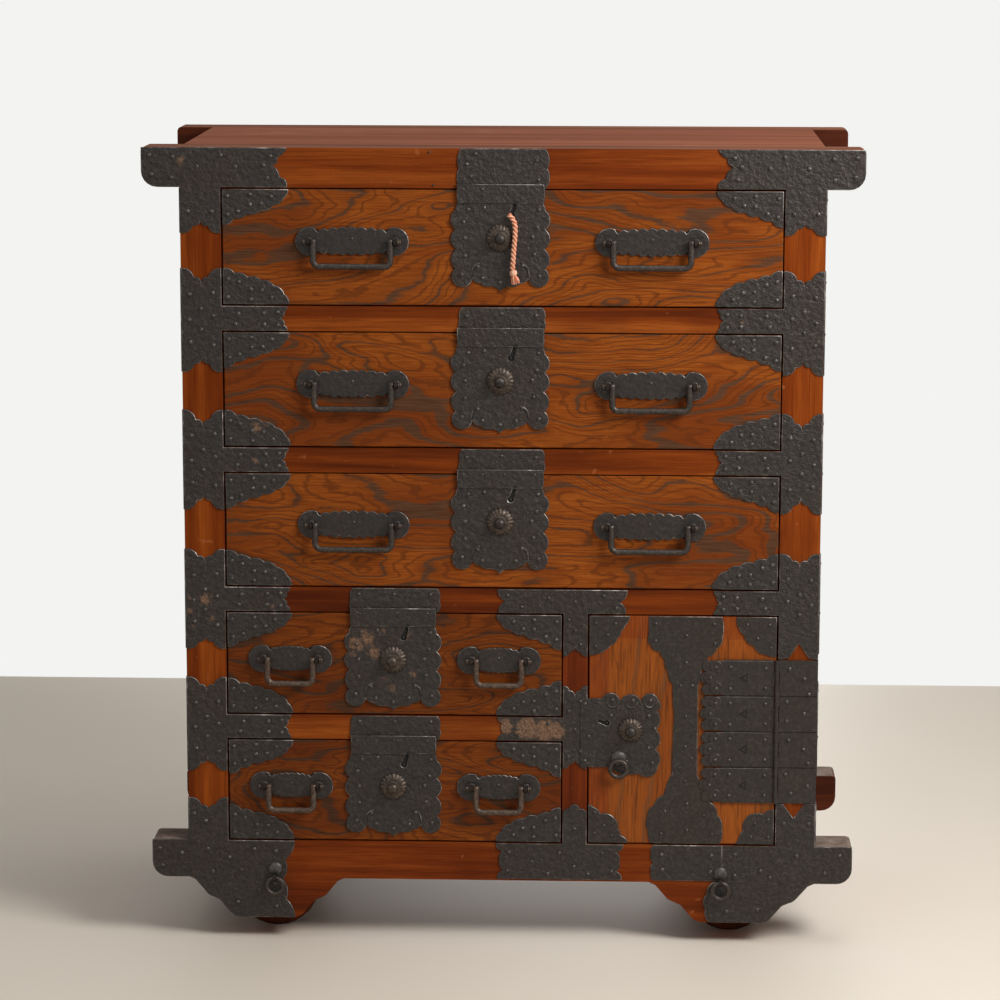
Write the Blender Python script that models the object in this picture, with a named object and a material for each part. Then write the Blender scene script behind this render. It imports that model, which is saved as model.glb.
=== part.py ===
"""A wheeled chest of drawers of wood and forged iron, in metres with +Z up.

The front faces -Y. The origin is on the floor under the middle of the whole object. All pieces hang
from an empty on the floor in the plane of the drawer fronts, and depths are measured back from there.
"""

import math

import bmesh
import bpy
from mathutils import Matrix, Vector

# Fits
SEAT_GAP = 0.0003
FUSE_DEPTH = 0.001
CUT_OVERRUN = 0.004
WELD_DISTANCE = 0.00001

# Case
CASE_WIDTH = 0.804
CASE_DEPTH = 0.403
POST_WIDTH = 0.051
FRAME_DEPTH = 0.025
SIDE_THICKNESS = 0.018
SIDE_SKIRT = 0.035
TOP_THICKNESS = 0.018
BOTTOM_THICKNESS = 0.015
BACK_THICKNESS = 0.012
RAIL_HEIGHT = 0.0315
DUST_BOARD_THICKNESS = 0.008
GUIDE_HEIGHT = 0.012
PARTITION_THICKNESS = 0.012
MIDDLE_POST_WIDTH = 0.0315
CUPBOARD_SHARE = 0.3433
WIDE_OPENING_HEIGHT = 0.148
SMALL_OPENING_HEIGHT = 0.135

# Beams and their brackets
BEAM_LUG = 0.048
BEAM_HEIGHT = 0.050
BEAM_DEPTH = 0.050
BEAM_END_RADIUS = 0.020
BEAM_TOP_RADIUS = 0.005
BRACKET_DROP = 0.053
LEFT_BRACKET_WIDTH = 0.199
RIGHT_BRACKET_WIDTH = 0.212
BRACKET_SLOPE_SHARE = 0.31
BRACKET_FALLS = 2
BRACKET_STEPS = 8
BEAM_END_STEPS = 5
BEAM_TOP_STEPS = 2

# Wheels
WHEEL_RADIUS = 0.055
WHEEL_THICKNESS = 0.034
WHEEL_CHAMFER = 0.003
WHEEL_TOP_GAP = 0.005
WHEEL_SIDE_GAP = 0.001
WHEEL_INSET = 0.107
HUB_RADIUS = 0.024
HUB_PROUD = 0.002
AXLE_RADIUS = 0.011
AXLE_SHOULDER = 0.005
AXLE_SEAT = 0.025
WHEEL_STEPS = 28
AXLE_STEPS = 14

# Drawers
FRONT_THICKNESS = 0.022
FRONT_CHAMFER = 0.001
FRONT_GAP = 0.0018
DRAWER_SIDE_THICKNESS = 0.010
DRAWER_BOTTOM_THICKNESS = 0.008
DRAWER_TOP_GAP = 0.008
DRAWER_BACK_GAP = 0.006

# Door
DOOR_FRAME_WIDTH = 0.027
DOOR_PANEL_THICKNESS = 0.010

# Locks
PLATE_THICKNESS = 0.002
LOCK_DROP = 0.0615
LOCK_OFFSET = 0.002
LOCK_PLATE_WIDTH = 0.124
LOCK_PLATE_TOP = 0.057
LOCK_PLATE_TIP = 0.066
LOCK_LOBES = 3
LAP_WIDTH = 0.108
LAP_THICKNESS = 0.0025
LAP_BELOW = 0.018
LAP_ABOVE = 0.006
LAP_SINK = 0.0005
ROSETTE_RADIUS = 0.018
ROSETTE_HEIGHT = 0.006
ROSETTE_STEPS = 16
KEYHOLE_ACROSS = 0.0135
KEYHOLE_UP = 0.029
KEYHOLE_RADIUS = 0.004
KEYHOLE_SLOT_WIDTH = 0.0036
KEYHOLE_SLOT_ACROSS = 0.0045
KEYHOLE_SLOT_UP = 0.014
KNOB_RADIUS = 0.0075
KNOB_HEAD_LENGTH = 0.0085
KNOB_STEM_RADIUS = 0.0038
KNOB_STEM_DEPTH = 0.004
KNOB_TRAVEL = 0.003
KNOB_STEPS = 12
BUTTON_BORE_SPARE = 0.005
DOOR_LOCK_WIDTH = 0.099
DOOR_LOCK_BEHIND = 0.065
DOOR_LOCK_AHEAD = 0.039
DOOR_LOCK_LAP = 0.010
DOOR_LOCK_Z = 0.151
DOOR_RING_ACROSS = 0.015
DOOR_RING_DROP = 0.039

# The side of a lock plate, as shares of its half width and of its height, from the top down
LOCK_SHOULDER_SHARE = 0.87
LOCK_LOBES_TOP_SHARE = 0.16
LOCK_LOBES_END_SHARE = 0.76
LOCK_LOBE_BULGE_SHARE = 0.13
LOCK_CORNER_ACROSS_SHARE = 0.80
LOCK_CORNER_DOWN_SHARE = 0.856
LOCK_CORNER_RADIUS_SHARE = 0.20
LOCK_TIP_CURVE_SHARES = (0.26, 0.885)
LOCK_CORNER_FROM = 58
LOCK_CORNER_TO = -190
LOCK_LOBE_STEPS = 3
LOCK_CORNER_STEPS = 7
LOCK_TIP_STEPS = 3

# The rosette's outline, as shares of its radius and of its height above the plate
ROSETTE_SHARES = ((1.0, 0.15), (0.84, 0.62), (0.55, 0.80), (0.48, 1.0))

# The knob's head, as shares of its radius and of its length, from the stem out
KNOB_SHARES = ((0.55, 0.0), (0.92, 0.25), (1.0, 0.52), (0.80, 0.82), (0.42, 1.0))

# Bails and their plates
BAIL_DROP = 0.0325
BAIL_ROD_RADIUS = 0.0033
BAIL_CORNER_RADIUS = 0.008
BAIL_CORNER_STEPS = 3
HANDLE_PLATE_HEIGHT = 0.036
WIDE_HANDLE_DROP = 0.0665
SMALL_HANDLE_DROP = 0.0615
HANDLE_NECK_ANGLE = 143

# Handle plates as shares of their drawer's width, bails as shares of their plates' length, and how far
# a handle is from the lock plate's edge, as a share of the way to the drawer's edge
WIDE_HANDLE_SHARES = (0.2023, 0.7324, 0.4325)
SMALL_HANDLE_SHARES = (0.2492, 0.6075, 0.4650)

# The edge of a handle plate, from its middle out
HANDLE_PLATE_MIDDLE_SHARE = 0.87
HANDLE_PLATE_CUSP_SHARES = ((0.36, 0.74), (0.78, 0.74))
HANDLE_PLATE_CREST_SHARES = ((0.22, 0.88), (0.57, 0.95), (0.92, 0.60))
HANDLE_LOBE_STEPS = 8
HANDLE_EDGE_STEPS = 2

# Eyes, their pins and beads
EYE_STANDOFF = 0.0075
EYE_WIDTH = 0.004
EYE_WALL = 0.002
EYE_PLAY = 0.0006
EYE_SIDE_GAP = 0.0005
EYE_NECK_HEIGHT = 0.004
EYE_NECK_WIDTH = 0.003
EYE_STEPS = 10
PIN_RADIUS = 0.0024
BEAD_RADIUS = 0.0034
BEAD_LENGTH = 0.005
BEAD_SHARES = ((0.30, 1.0), (0.70, 1.0), (1.0, 0.5))
PIN_STEPS = 8

# Rings
RING_RADIUS = 0.0105
RING_ROD_RADIUS = 0.0021
RING_STEPS = 16
RING_ROD_STEPS = 6
LEFT_BASE_RING_X = 0.291
RIGHT_BASE_RING_X = 0.282
BASE_RING_RISE = 0.002

# Door hinges
HINGE_COUNT = 4
HINGE_HEIGHT = 0.04675
HINGE_RISE = 0.057
HINGE_STRAP_LENGTH = 0.089
HINGE_STRAP_LOBE = 0.026
HINGE_GROOVE_WIDTH = 0.0012
HINGE_GROOVE_DEPTH = 0.0012
HINGE_PIN_RADIUS = 0.0015
HINGE_PLAY = 0.0003
KNUCKLE_WALL = 0.001
KNUCKLE_GAP = 0.0008
DOOR_KNUCKLE_FROM_SHARE = 0.30
DOOR_KNUCKLE_TO_SHARE = 0.70
KNUCKLE_STEPS = 10
HINGE_LOBE_STEPS = 5

# Key cord and tassel
CORD_RADIUS = 0.0032
CORD_SAMPLES_PER_SPAN = 2
CORD_RESOLUTION = 2

# The cord's route, from the middle of the top drawer's knob
CORD_ROUTE = (
    (0.0105, -0.0058, 0.0295),
    (0.0142, -0.0070, 0.0260),
    (0.0175, -0.0080, 0.0200),
    (0.0186, -0.0086, 0.0125),
    (0.0182, -0.0087, 0.0005),
    (0.0170, -0.0089, -0.0140),
    (0.0161, -0.0093, -0.0280),
    (0.0154, -0.0097, -0.0385),
)
KNOT_RADIUS = 0.0050
KNOT_LENGTH = 0.008
KNOT_SHOULDER_SHARES = (0.64, 0.18)
TASSEL_RADIUS = 0.0066
TASSEL_LENGTH = 0.012
TASSEL_WAIST_SHARE = 0.55
TASSEL_STEPS = 10
TASSEL_LEAN = 14

SMOOTH_ANGLE = 35

# Levels, upwards from the floor
AXLE_Z = WHEEL_RADIUS
BOTTOM_BOARD_Z = 2 * WHEEL_RADIUS + WHEEL_TOP_GAP
CASE_FLOOR_Z = BOTTOM_BOARD_Z + BOTTOM_THICKNESS
BASE_BEAM_Z = CASE_FLOOR_Z - BEAM_HEIGHT
SKIRT_Z = CASE_FLOOR_Z - SIDE_SKIRT
SHORT_RAIL_Z = CASE_FLOOR_Z + SMALL_OPENING_HEIGHT
LOWER_RAIL_Z = SHORT_RAIL_Z + RAIL_HEIGHT + SMALL_OPENING_HEIGHT
MIDDLE_RAIL_Z = LOWER_RAIL_Z + RAIL_HEIGHT + WIDE_OPENING_HEIGHT
UPPER_RAIL_Z = MIDDLE_RAIL_Z + RAIL_HEIGHT + WIDE_OPENING_HEIGHT
TOP_BEAM_Z = UPPER_RAIL_Z + RAIL_HEIGHT + WIDE_OPENING_HEIGHT
TOP_Z = TOP_BEAM_Z + BEAM_HEIGHT
TOP_BOARD_Z = TOP_Z - TOP_THICKNESS
POST_BOTTOM_Z = CASE_FLOOR_Z + SEAT_GAP
POST_TOP_Z = TOP_BEAM_Z - SEAT_GAP

# Places across the front
CASE_EDGE = CASE_WIDTH / 2
BEAM_LENGTH = CASE_WIDTH + 2 * BEAM_LUG
OPENING_EDGE = CASE_EDGE - POST_WIDTH
CUPBOARD_WIDTH = CUPBOARD_SHARE * 2 * OPENING_EDGE
INSIDE_EDGE = CASE_EDGE - SIDE_THICKNESS
BOARD_EDGE = INSIDE_EDGE - SEAT_GAP
RAIL_EDGE = OPENING_EDGE - SEAT_GAP
MIDDLE_POST_RIGHT = OPENING_EDGE - CUPBOARD_WIDTH
MIDDLE_POST_LEFT = MIDDLE_POST_RIGHT - MIDDLE_POST_WIDTH

# Depths, back from the drawer fronts
REAR_BEAM_Y = CASE_DEPTH - BEAM_DEPTH
BEHIND_BEAM_Y = BEAM_DEPTH + SEAT_GAP
BEFORE_REAR_BEAM_Y = REAR_BEAM_Y - SEAT_GAP
BEHIND_FRAME_Y = FRAME_DEPTH + SEAT_GAP
BACK_BOARD_Y = CASE_DEPTH - BACK_THICKNESS
INNER_BACK_Y = BACK_BOARD_Y - SEAT_GAP
DRAWER_BACK_Y = INNER_BACK_Y - DRAWER_BACK_GAP
PLATE_FACE_Y = -SEAT_GAP - PLATE_THICKNESS
HANDLE_FACE_Y = -PLATE_THICKNESS
BAIL_PIVOT_Y = HANDLE_FACE_Y - EYE_STANDOFF
ROSETTE_FACE_Y = PLATE_FACE_Y - ROSETTE_HEIGHT
KNOB_BACK_Y = ROSETTE_FACE_Y - KNOB_TRAVEL - SEAT_GAP
KNOB_TIP_Y = KNOB_BACK_Y - KNOB_HEAD_LENGTH
BUTTON_BORE_RADIUS = KNOB_STEM_RADIUS + SEAT_GAP
BUTTON_BORE_DEPTH = KNOB_STEM_DEPTH + KNOB_TRAVEL + BUTTON_BORE_SPARE
KNUCKLE_RADIUS = HINGE_PIN_RADIUS + HINGE_PLAY + KNUCKLE_WALL
HINGE_X = OPENING_EDGE - FRONT_GAP / 2
HINGE_Y = -KNUCKLE_RADIUS - SEAT_GAP
PROUD = max(-KNOB_TIP_Y, EYE_WALL + EYE_PLAY + max(PIN_RADIUS, RING_ROD_RADIUS) - BAIL_PIVOT_Y)
FRONT_Y = (PROUD - CASE_DEPTH) / 2


def arc(centre, radius, start, end, steps):
    """Points along an arc between two angles in degrees."""
    points = []
    for step in range(steps + 1):
        angle = math.radians(start + (end - start) * step / steps)
        points.append((centre[0] + radius * math.cos(angle), centre[1] + radius * math.sin(angle)))
    return points


def bend(start, control, end, steps):
    """Points along a quadratic curve, without its first point."""
    points = []
    for step in range(1, steps + 1):
        t = step / steps
        weights = ((1 - t) ** 2, 2 * t * (1 - t), t**2)
        points.append(
            tuple(sum(w * p[i] for w, p in zip(weights, (start, control, end))) for i in (0, 1))
        )
    return points


def mirrored(points):
    """A right-hand side from top to bottom, closed by the same side mirrored from bottom to top."""
    return points + [(-across, up) for across, up in reversed(points)]


def along_axis(across, up, along, axis):
    """A point from its places across an axis and along it."""
    if axis == "X":
        return (along, across, up)
    if axis == "Y":
        return (across, along, up)
    return (across, up, along)


def box(low, high):
    """A box between two corners."""
    size = Vector(high) - Vector(low)
    middle = (Vector(high) + Vector(low)) / 2
    shape = bmesh.new()
    bmesh.ops.create_cube(shape, size=1, matrix=Matrix.Translation(middle) @ Matrix.Diagonal((*size, 1)))
    return shape


def prism(outline, start, end, axis):
    """An outline extruded along an axis."""
    shape = bmesh.new()
    corners = [shape.verts.new(along_axis(*point, start, axis)) for point in dict.fromkeys(outline)]
    face = shape.faces.new(corners)
    lifted = bmesh.ops.extrude_face_region(shape, geom=[face])["geom"]
    step = along_axis(0, 0, end - start, axis)
    bmesh.ops.translate(shape, vec=step, verts=[v for v in lifted if isinstance(v, bmesh.types.BMVert)])
    bmesh.ops.recalc_face_normals(shape, faces=shape.faces)
    return shape


def turned(profile, steps, axis):
    """A closed profile of (radius, distance along) pairs turned about an axis through the origin."""
    shape = bmesh.new()
    rings = []
    for radius, along in profile:
        ring = []
        for step in range(steps if radius > 0 else 1):
            angle = 2 * math.pi * step / steps
            place = along_axis(radius * math.cos(angle), radius * math.sin(angle), along, axis)
            ring.append(shape.verts.new(place))
        rings.append(ring)
    for first, second in zip(rings, rings[1:] + rings[:1]):
        if len(first) == 1 and len(second) == 1:
            continue
        for step in range(steps):
            after = step + 1
            corners = (
                first[step % len(first)],
                first[after % len(first)],
                second[after % len(second)],
                second[step % len(second)],
            )
            shape.faces.new(list(dict.fromkeys(corners)))
    bmesh.ops.recalc_face_normals(shape, faces=shape.faces)
    return shape


def moved(shape, offset):
    """The same shape, moved."""
    bmesh.ops.translate(shape, vec=offset, verts=shape.verts)
    return shape


def mesh_of(shape):
    """The shape as mesh data."""
    mesh = bpy.data.meshes.new("shape")
    shape.to_mesh(mesh)
    shape.free()
    return mesh


def together(shapes):
    """Shapes that lie apart, as one."""
    whole = bmesh.new()
    for shape in shapes:
        mesh = mesh_of(shape)
        whole.from_mesh(mesh)
        bpy.data.meshes.remove(mesh)
    return whole


def fused(pieces, cutters=()):
    """The pieces united into one solid, less the cutters."""
    helpers = []
    for shape in (*pieces, *cutters):
        helper = bpy.data.objects.new("shape", mesh_of(shape))
        bpy.context.scene.collection.objects.link(helper)
        helpers.append(helper)
    for index, helper in enumerate(helpers[1:], start=1):
        modifier = helpers[0].modifiers.new("combine", "BOOLEAN")
        modifier.operation = "UNION" if index < len(pieces) else "DIFFERENCE"
        modifier.object = helper
    graph = bpy.context.evaluated_depsgraph_get()
    mesh = bpy.data.meshes.new_from_object(helpers[0].evaluated_get(graph))
    result = bmesh.new()
    result.from_mesh(mesh)
    bpy.data.meshes.remove(mesh)
    for helper in helpers:
        bpy.data.meshes.remove(helper.data)
    return result


def tube_curve(points, radius, resolution):
    """A round tube along points."""
    curve = bpy.data.curves.new("tube", "CURVE")
    curve.dimensions = "3D"
    curve.bevel_depth = radius
    curve.bevel_resolution = resolution
    curve.use_fill_caps = True
    spline = curve.splines.new("POLY")
    spline.points.add(len(points) - 1)
    for place, point in zip(spline.points, points):
        place.co = (*point, 1)
    return curve


def tube_shape(points, radius, resolution):
    """The same tube as a shape with its caps joined on."""
    helper = bpy.data.objects.new("tube", tube_curve(points, radius, resolution))
    bpy.context.scene.collection.objects.link(helper)
    graph = bpy.context.evaluated_depsgraph_get()
    mesh = bpy.data.meshes.new_from_object(helper.evaluated_get(graph))
    bpy.data.curves.remove(helper.data)
    shape = bmesh.new()
    shape.from_mesh(mesh)
    bpy.data.meshes.remove(mesh)
    bmesh.ops.remove_doubles(shape, verts=shape.verts, dist=WELD_DISTANCE)
    bmesh.ops.recalc_face_normals(shape, faces=shape.faces)
    return shape


def side_board(sign):
    """A side board with its front post. Tongues reach up and down between the beams."""
    profile = [
        (0, POST_BOTTOM_Z),
        (BEHIND_BEAM_Y, POST_BOTTOM_Z),
        (BEHIND_BEAM_Y, SKIRT_Z),
        (BEFORE_REAR_BEAM_Y, SKIRT_Z),
        (BEFORE_REAR_BEAM_Y, POST_BOTTOM_Z),
        (INNER_BACK_Y, POST_BOTTOM_Z),
        (INNER_BACK_Y, POST_TOP_Z),
        (BEFORE_REAR_BEAM_Y, POST_TOP_Z),
        (BEFORE_REAR_BEAM_Y, TOP_BOARD_Z - SEAT_GAP),
        (BEHIND_BEAM_Y, TOP_BOARD_Z - SEAT_GAP),
        (BEHIND_BEAM_Y, POST_TOP_Z),
        (0, POST_TOP_Z),
    ]
    panel = prism(profile, sign * INSIDE_EDGE, sign * CASE_EDGE, "X")
    low_x, high_x = sorted((sign * OPENING_EDGE, sign * CASE_EDGE))
    post = box((low_x, 0, POST_BOTTOM_Z), (high_x, FRAME_DEPTH, POST_TOP_Z))
    return fused([panel, post])


def middle_post():
    """The middle post with the partition behind it, which reaches up to the dust board."""
    post = box(
        (MIDDLE_POST_LEFT, 0, POST_BOTTOM_Z),
        (MIDDLE_POST_RIGHT, FRAME_DEPTH, LOWER_RAIL_Z - SEAT_GAP),
    )
    partition_top = LOWER_RAIL_Z + RAIL_HEIGHT - DUST_BOARD_THICKNESS - SEAT_GAP
    profile = [
        (FRAME_DEPTH - FUSE_DEPTH, POST_BOTTOM_Z),
        (INNER_BACK_Y, POST_BOTTOM_Z),
        (INNER_BACK_Y, partition_top),
        (BEHIND_FRAME_Y, partition_top),
        (BEHIND_FRAME_Y, LOWER_RAIL_Z - SEAT_GAP),
        (FRAME_DEPTH - FUSE_DEPTH, LOWER_RAIL_Z - SEAT_GAP),
    ]
    partition = prism(profile, MIDDLE_POST_LEFT, MIDDLE_POST_LEFT + PARTITION_THICKNESS, "X")
    return fused([post, partition])


def drawer_guide(sign, floor, start):
    """A strip beside a drawer, on the board that carries the drawer."""
    low_x, high_x = sorted((sign * OPENING_EDGE, sign * BOARD_EDGE))
    return box((low_x, start, floor - FUSE_DEPTH), (high_x, INNER_BACK_Y, floor + GUIDE_HEIGHT))


def rail(bottom, right, board_right, guide_signs):
    """A front rail with the dust board behind it and the guides on that."""
    top = bottom + RAIL_HEIGHT
    front = box((-RAIL_EDGE, 0, bottom), (right, FRAME_DEPTH, top))
    outline = [
        (-RAIL_EDGE, FRAME_DEPTH - FUSE_DEPTH),
        (right, FRAME_DEPTH - FUSE_DEPTH),
        (right, BEHIND_FRAME_Y),
        (board_right, BEHIND_FRAME_Y),
        (board_right, INNER_BACK_Y),
        (-BOARD_EDGE, INNER_BACK_Y),
        (-BOARD_EDGE, BEHIND_FRAME_Y),
        (-RAIL_EDGE, BEHIND_FRAME_Y),
    ]
    board = prism(outline, top - DUST_BOARD_THICKNESS, top, "Z")
    guides = [drawer_guide(sign, top, BEHIND_FRAME_Y) for sign in guide_signs]
    return fused([front, board, together(guides)])


def bottom_board():
    """The case's bottom, with the guide of the lowest drawer."""
    board = box(
        (-BOARD_EDGE, BEHIND_BEAM_Y, BOTTOM_BOARD_Z),
        (BOARD_EDGE, BEFORE_REAR_BEAM_Y, CASE_FLOOR_Z),
    )
    low = (-BOARD_EDGE, BEHIND_BEAM_Y, CASE_FLOOR_Z - FUSE_DEPTH)
    high = (-OPENING_EDGE, BEFORE_REAR_BEAM_Y, CASE_FLOOR_Z + GUIDE_HEIGHT)
    return fused([board, box(low, high)])


def bracket_side(width):
    """Points down one side of a bracket, as (run, drop) pairs: two S-shaped falls."""
    points = []
    for step in range(BRACKET_STEPS + 1):
        fall, part = divmod(BRACKET_FALLS * step / BRACKET_STEPS, 1)
        drop = (fall + (1 - math.cos(math.pi * part)) / 2) / BRACKET_FALLS
        run = width * BRACKET_SLOPE_SHARE * step / BRACKET_STEPS
        points.append((run, drop * BRACKET_DROP))
    return points


def bracket(left, width, underside):
    """A bracket under a beam, from left to right."""
    down = [(left + run, underside - drop) for run, drop in bracket_side(width)]
    up = [(left + width - run, underside - drop) for run, drop in reversed(bracket_side(width))]
    return down + up


def beam(bottom, front, brackets):
    """A beam with a rounded lug at each end."""
    end = BEAM_LENGTH / 2 - BEAM_END_RADIUS
    low = bottom + BEAM_END_RADIUS
    top_end = BEAM_LENGTH / 2 - BEAM_TOP_RADIUS
    high = bottom + BEAM_HEIGHT - BEAM_TOP_RADIUS
    outline = arc((-end, low), BEAM_END_RADIUS, 180, 270, BEAM_END_STEPS)
    for points in brackets:
        outline += points
    outline += arc((end, low), BEAM_END_RADIUS, 270, 360, BEAM_END_STEPS)
    outline += arc((top_end, high), BEAM_TOP_RADIUS, 0, 90, BEAM_TOP_STEPS)
    outline += arc((-top_end, high), BEAM_TOP_RADIUS, 90, 180, BEAM_TOP_STEPS)
    return prism(outline, front, front + BEAM_DEPTH, "Y")


def wheel_places():
    """The middle of each wheel, by name."""
    half = WHEEL_THICKNESS / 2 + HUB_PROUD
    front = BEAM_DEPTH + WHEEL_SIDE_GAP + half
    places = {}
    for side, sign in (("left", -1), ("right", 1)):
        x = sign * (CASE_EDGE - WHEEL_INSET)
        places[f"front_{side}_wheel"] = (x, front, AXLE_Z)
        places[f"rear_{side}_wheel"] = (x, CASE_DEPTH - front, AXLE_Z)
    return places


def axle_seat(sign, start):
    """The blind bore that holds one end of an axle."""
    radius = AXLE_RADIUS + SEAT_GAP
    end = start + AXLE_SEAT + SEAT_GAP + CUT_OVERRUN
    profile = [(0, start), (radius, start), (radius, end), (0, end)]
    return moved(turned(profile, AXLE_STEPS, "Y"), (sign * (CASE_EDGE - WHEEL_INSET), 0, AXLE_Z))


def base_beam(front, seat_start, ring_places):
    """A base beam with its brackets, its axle bores and the eyes of its rings."""
    brackets = [
        bracket(-CASE_EDGE, LEFT_BRACKET_WIDTH, BASE_BEAM_Z),
        bracket(CASE_EDGE - RIGHT_BRACKET_WIDTH, RIGHT_BRACKET_WIDTH, BASE_BEAM_Z),
    ]
    pieces = [beam(BASE_BEAM_Z, front, brackets)]
    for x, z in ring_places:
        pieces += eye(x, z, 0, BAIL_PIVOT_Y, RING_ROD_RADIUS)
    return fused(pieces, [together([axle_seat(-1, seat_start), axle_seat(1, seat_start)])])


def wheel():
    """A disc wheel with a hub, about its own middle."""
    half = WHEEL_THICKNESS / 2
    hub = half + HUB_PROUD
    bore = AXLE_RADIUS + SEAT_GAP
    rim = WHEEL_RADIUS - WHEEL_CHAMFER
    side = [(bore, hub), (HUB_RADIUS, hub), (HUB_RADIUS, half), (rim, half)]
    side.append((WHEEL_RADIUS, half - WHEEL_CHAMFER))
    return turned(side + [(radius, -along) for radius, along in reversed(side)], WHEEL_STEPS, "Y")


def axle():
    """An axle about its own middle, thicker between its two wheels."""
    end = CASE_DEPTH / 2 - BEAM_DEPTH + AXLE_SEAT
    shoulder = CASE_DEPTH / 2 - BEAM_DEPTH - WHEEL_THICKNESS - 2 * (HUB_PROUD + WHEEL_SIDE_GAP)
    thick = AXLE_RADIUS + AXLE_SHOULDER
    half = [(0, end), (AXLE_RADIUS, end), (AXLE_RADIUS, shoulder), (thick, shoulder)]
    return turned(half + [(radius, -along) for radius, along in reversed(half)], AXLE_STEPS, "Y")


def eye(x, z, surface, pivot_y, rod_radius):
    """An eye about an X axis, and the neck that carries it from a surface. They make two shapes."""
    bore = rod_radius + EYE_PLAY
    outer = bore + EYE_WALL
    half = EYE_WIDTH / 2
    ring = turned([(bore, -half), (outer, -half), (outer, half), (bore, half)], EYE_STEPS, "X")
    neck = box(
        (x - EYE_NECK_WIDTH / 2, pivot_y + bore + EYE_WALL / 2, z - EYE_NECK_HEIGHT / 2),
        (x + EYE_NECK_WIDTH / 2, surface + FUSE_DEPTH, z + EYE_NECK_HEIGHT / 2),
    )
    return [moved(ring, (x, pivot_y, z)), neck]


def eye_place(bail_width):
    """How far an eye is from the middle of its bail."""
    return bail_width / 2 + EYE_SIDE_GAP + EYE_WIDTH / 2


def bail(width):
    """A bail hanging from its two pins, about the middle of their axis."""
    leg = width / 2 - BAIL_ROD_RADIUS
    corner = (leg - BAIL_CORNER_RADIUS, BAIL_CORNER_RADIUS - BAIL_DROP)
    side = [(leg, BAIL_ROD_RADIUS)] + arc(corner, BAIL_CORNER_RADIUS, 0, -90, BAIL_CORNER_STEPS)
    rod = tube_shape([(x, 0, z) for x, z in mirrored(side)], BAIL_ROD_RADIUS, CORD_RESOLUTION)
    bead = eye_place(width) + EYE_WIDTH / 2 + EYE_SIDE_GAP
    pins = []
    for sign in (-1, 1):
        profile = [(0, sign * leg), (PIN_RADIUS, sign * leg), (PIN_RADIUS, sign * bead)]
        for along_share, radius_share in BEAD_SHARES:
            profile.append((radius_share * BEAD_RADIUS, sign * (bead + along_share * BEAD_LENGTH)))
        profile.append((0, sign * (bead + BEAD_LENGTH)))
        pins.append(turned(profile, PIN_STEPS, "X"))
    return fused([rod, together(pins)])


def handle_plate(length, x, z):
    """The plate behind a bail: a round lobe at each end, and a scalloped bar between them."""
    lobe = HANDLE_PLATE_HEIGHT / 2
    centre = length / 2 - lobe
    end_lobe = arc((centre, 0), lobe, HANDLE_NECK_ANGLE, 0, HANDLE_LOBE_STEPS)
    neck = end_lobe[0]
    cusps = [(neck[0] * across, lobe * up) for across, up in HANDLE_PLATE_CUSP_SHARES]
    crests = [(neck[0] * across, lobe * up) for across, up in HANDLE_PLATE_CREST_SHARES]
    edge = [(0, lobe * HANDLE_PLATE_MIDDLE_SHARE)]
    for crest, cusp in zip(crests, cusps + [neck]):
        edge += bend(edge[-1], crest, cusp, HANDLE_EDGE_STEPS)
    upper = edge + end_lobe[1:]
    side = upper + [(across, -up) for across, up in reversed(upper[:-1])]
    outline = [(across + x, up + z) for across, up in mirrored(side)]
    return prism(outline, HANDLE_FACE_Y, FUSE_DEPTH, "Y")


def button_bore(x, z):
    """The blind bore in a wooden front that a push knob's stem moves in."""
    profile = [
        (0, -CUT_OVERRUN),
        (BUTTON_BORE_RADIUS, -CUT_OVERRUN),
        (BUTTON_BORE_RADIUS, BUTTON_BORE_DEPTH),
        (0, BUTTON_BORE_DEPTH),
    ]
    return moved(turned(profile, KNOB_STEPS, "Y"), (x, 0, z))


def chamfered_board(low, high):
    """A board with a small chamfer round its front face."""
    shape = box(low, high)
    front = [e for e in shape.edges if all(v.co.y < (low[1] + high[1]) / 2 for v in e.verts)]
    bmesh.ops.bevel(shape, geom=front, offset=FRONT_CHAMFER, segments=1, affect="EDGES")
    return shape


def drawer_front(drawer):
    """A drawer's front board with its handle plates and eyes, less the bore behind the knob."""
    board = chamfered_board(
        (drawer["left"] + FRONT_GAP, 0, drawer["floor"] + FRONT_GAP),
        (drawer["right"] - FRONT_GAP, FRONT_THICKNESS, drawer["floor"] + drawer["height"] - FRONT_GAP),
    )
    plates = []
    rings = []
    necks = []
    for x, z in drawer["bails"]:
        plates.append(handle_plate(drawer["plate_length"], x, z))
        for sign in (-1, 1):
            eye_x = x + sign * eye_place(drawer["bail_width"])
            ring, neck = eye(eye_x, z, HANDLE_FACE_Y, BAIL_PIVOT_Y, PIN_RADIUS)
            rings.append(ring)
            necks.append(neck)
    pieces = [board, together(plates), together(necks), together(rings)]
    return fused(pieces, [button_bore(*drawer["lock"])])


def drawer_box(drawer):
    """A drawer's sides, back and bottom in one, open at the top and towards the front board."""
    left = drawer["left"] + FRONT_GAP
    right = drawer["right"] - FRONT_GAP
    front = FRONT_THICKNESS + SEAT_GAP
    floor = drawer["floor"] + SEAT_GAP
    top = drawer["floor"] + drawer["height"] - DRAWER_TOP_GAP
    outside = box((left, front, floor), (right, DRAWER_BACK_Y, top))
    inside = box(
        (left + DRAWER_SIDE_THICKNESS, front - CUT_OVERRUN, floor + DRAWER_BOTTOM_THICKNESS),
        (right - DRAWER_SIDE_THICKNESS, DRAWER_BACK_Y - DRAWER_SIDE_THICKNESS, top + CUT_OVERRUN),
    )
    return fused([outside], [inside])


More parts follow.
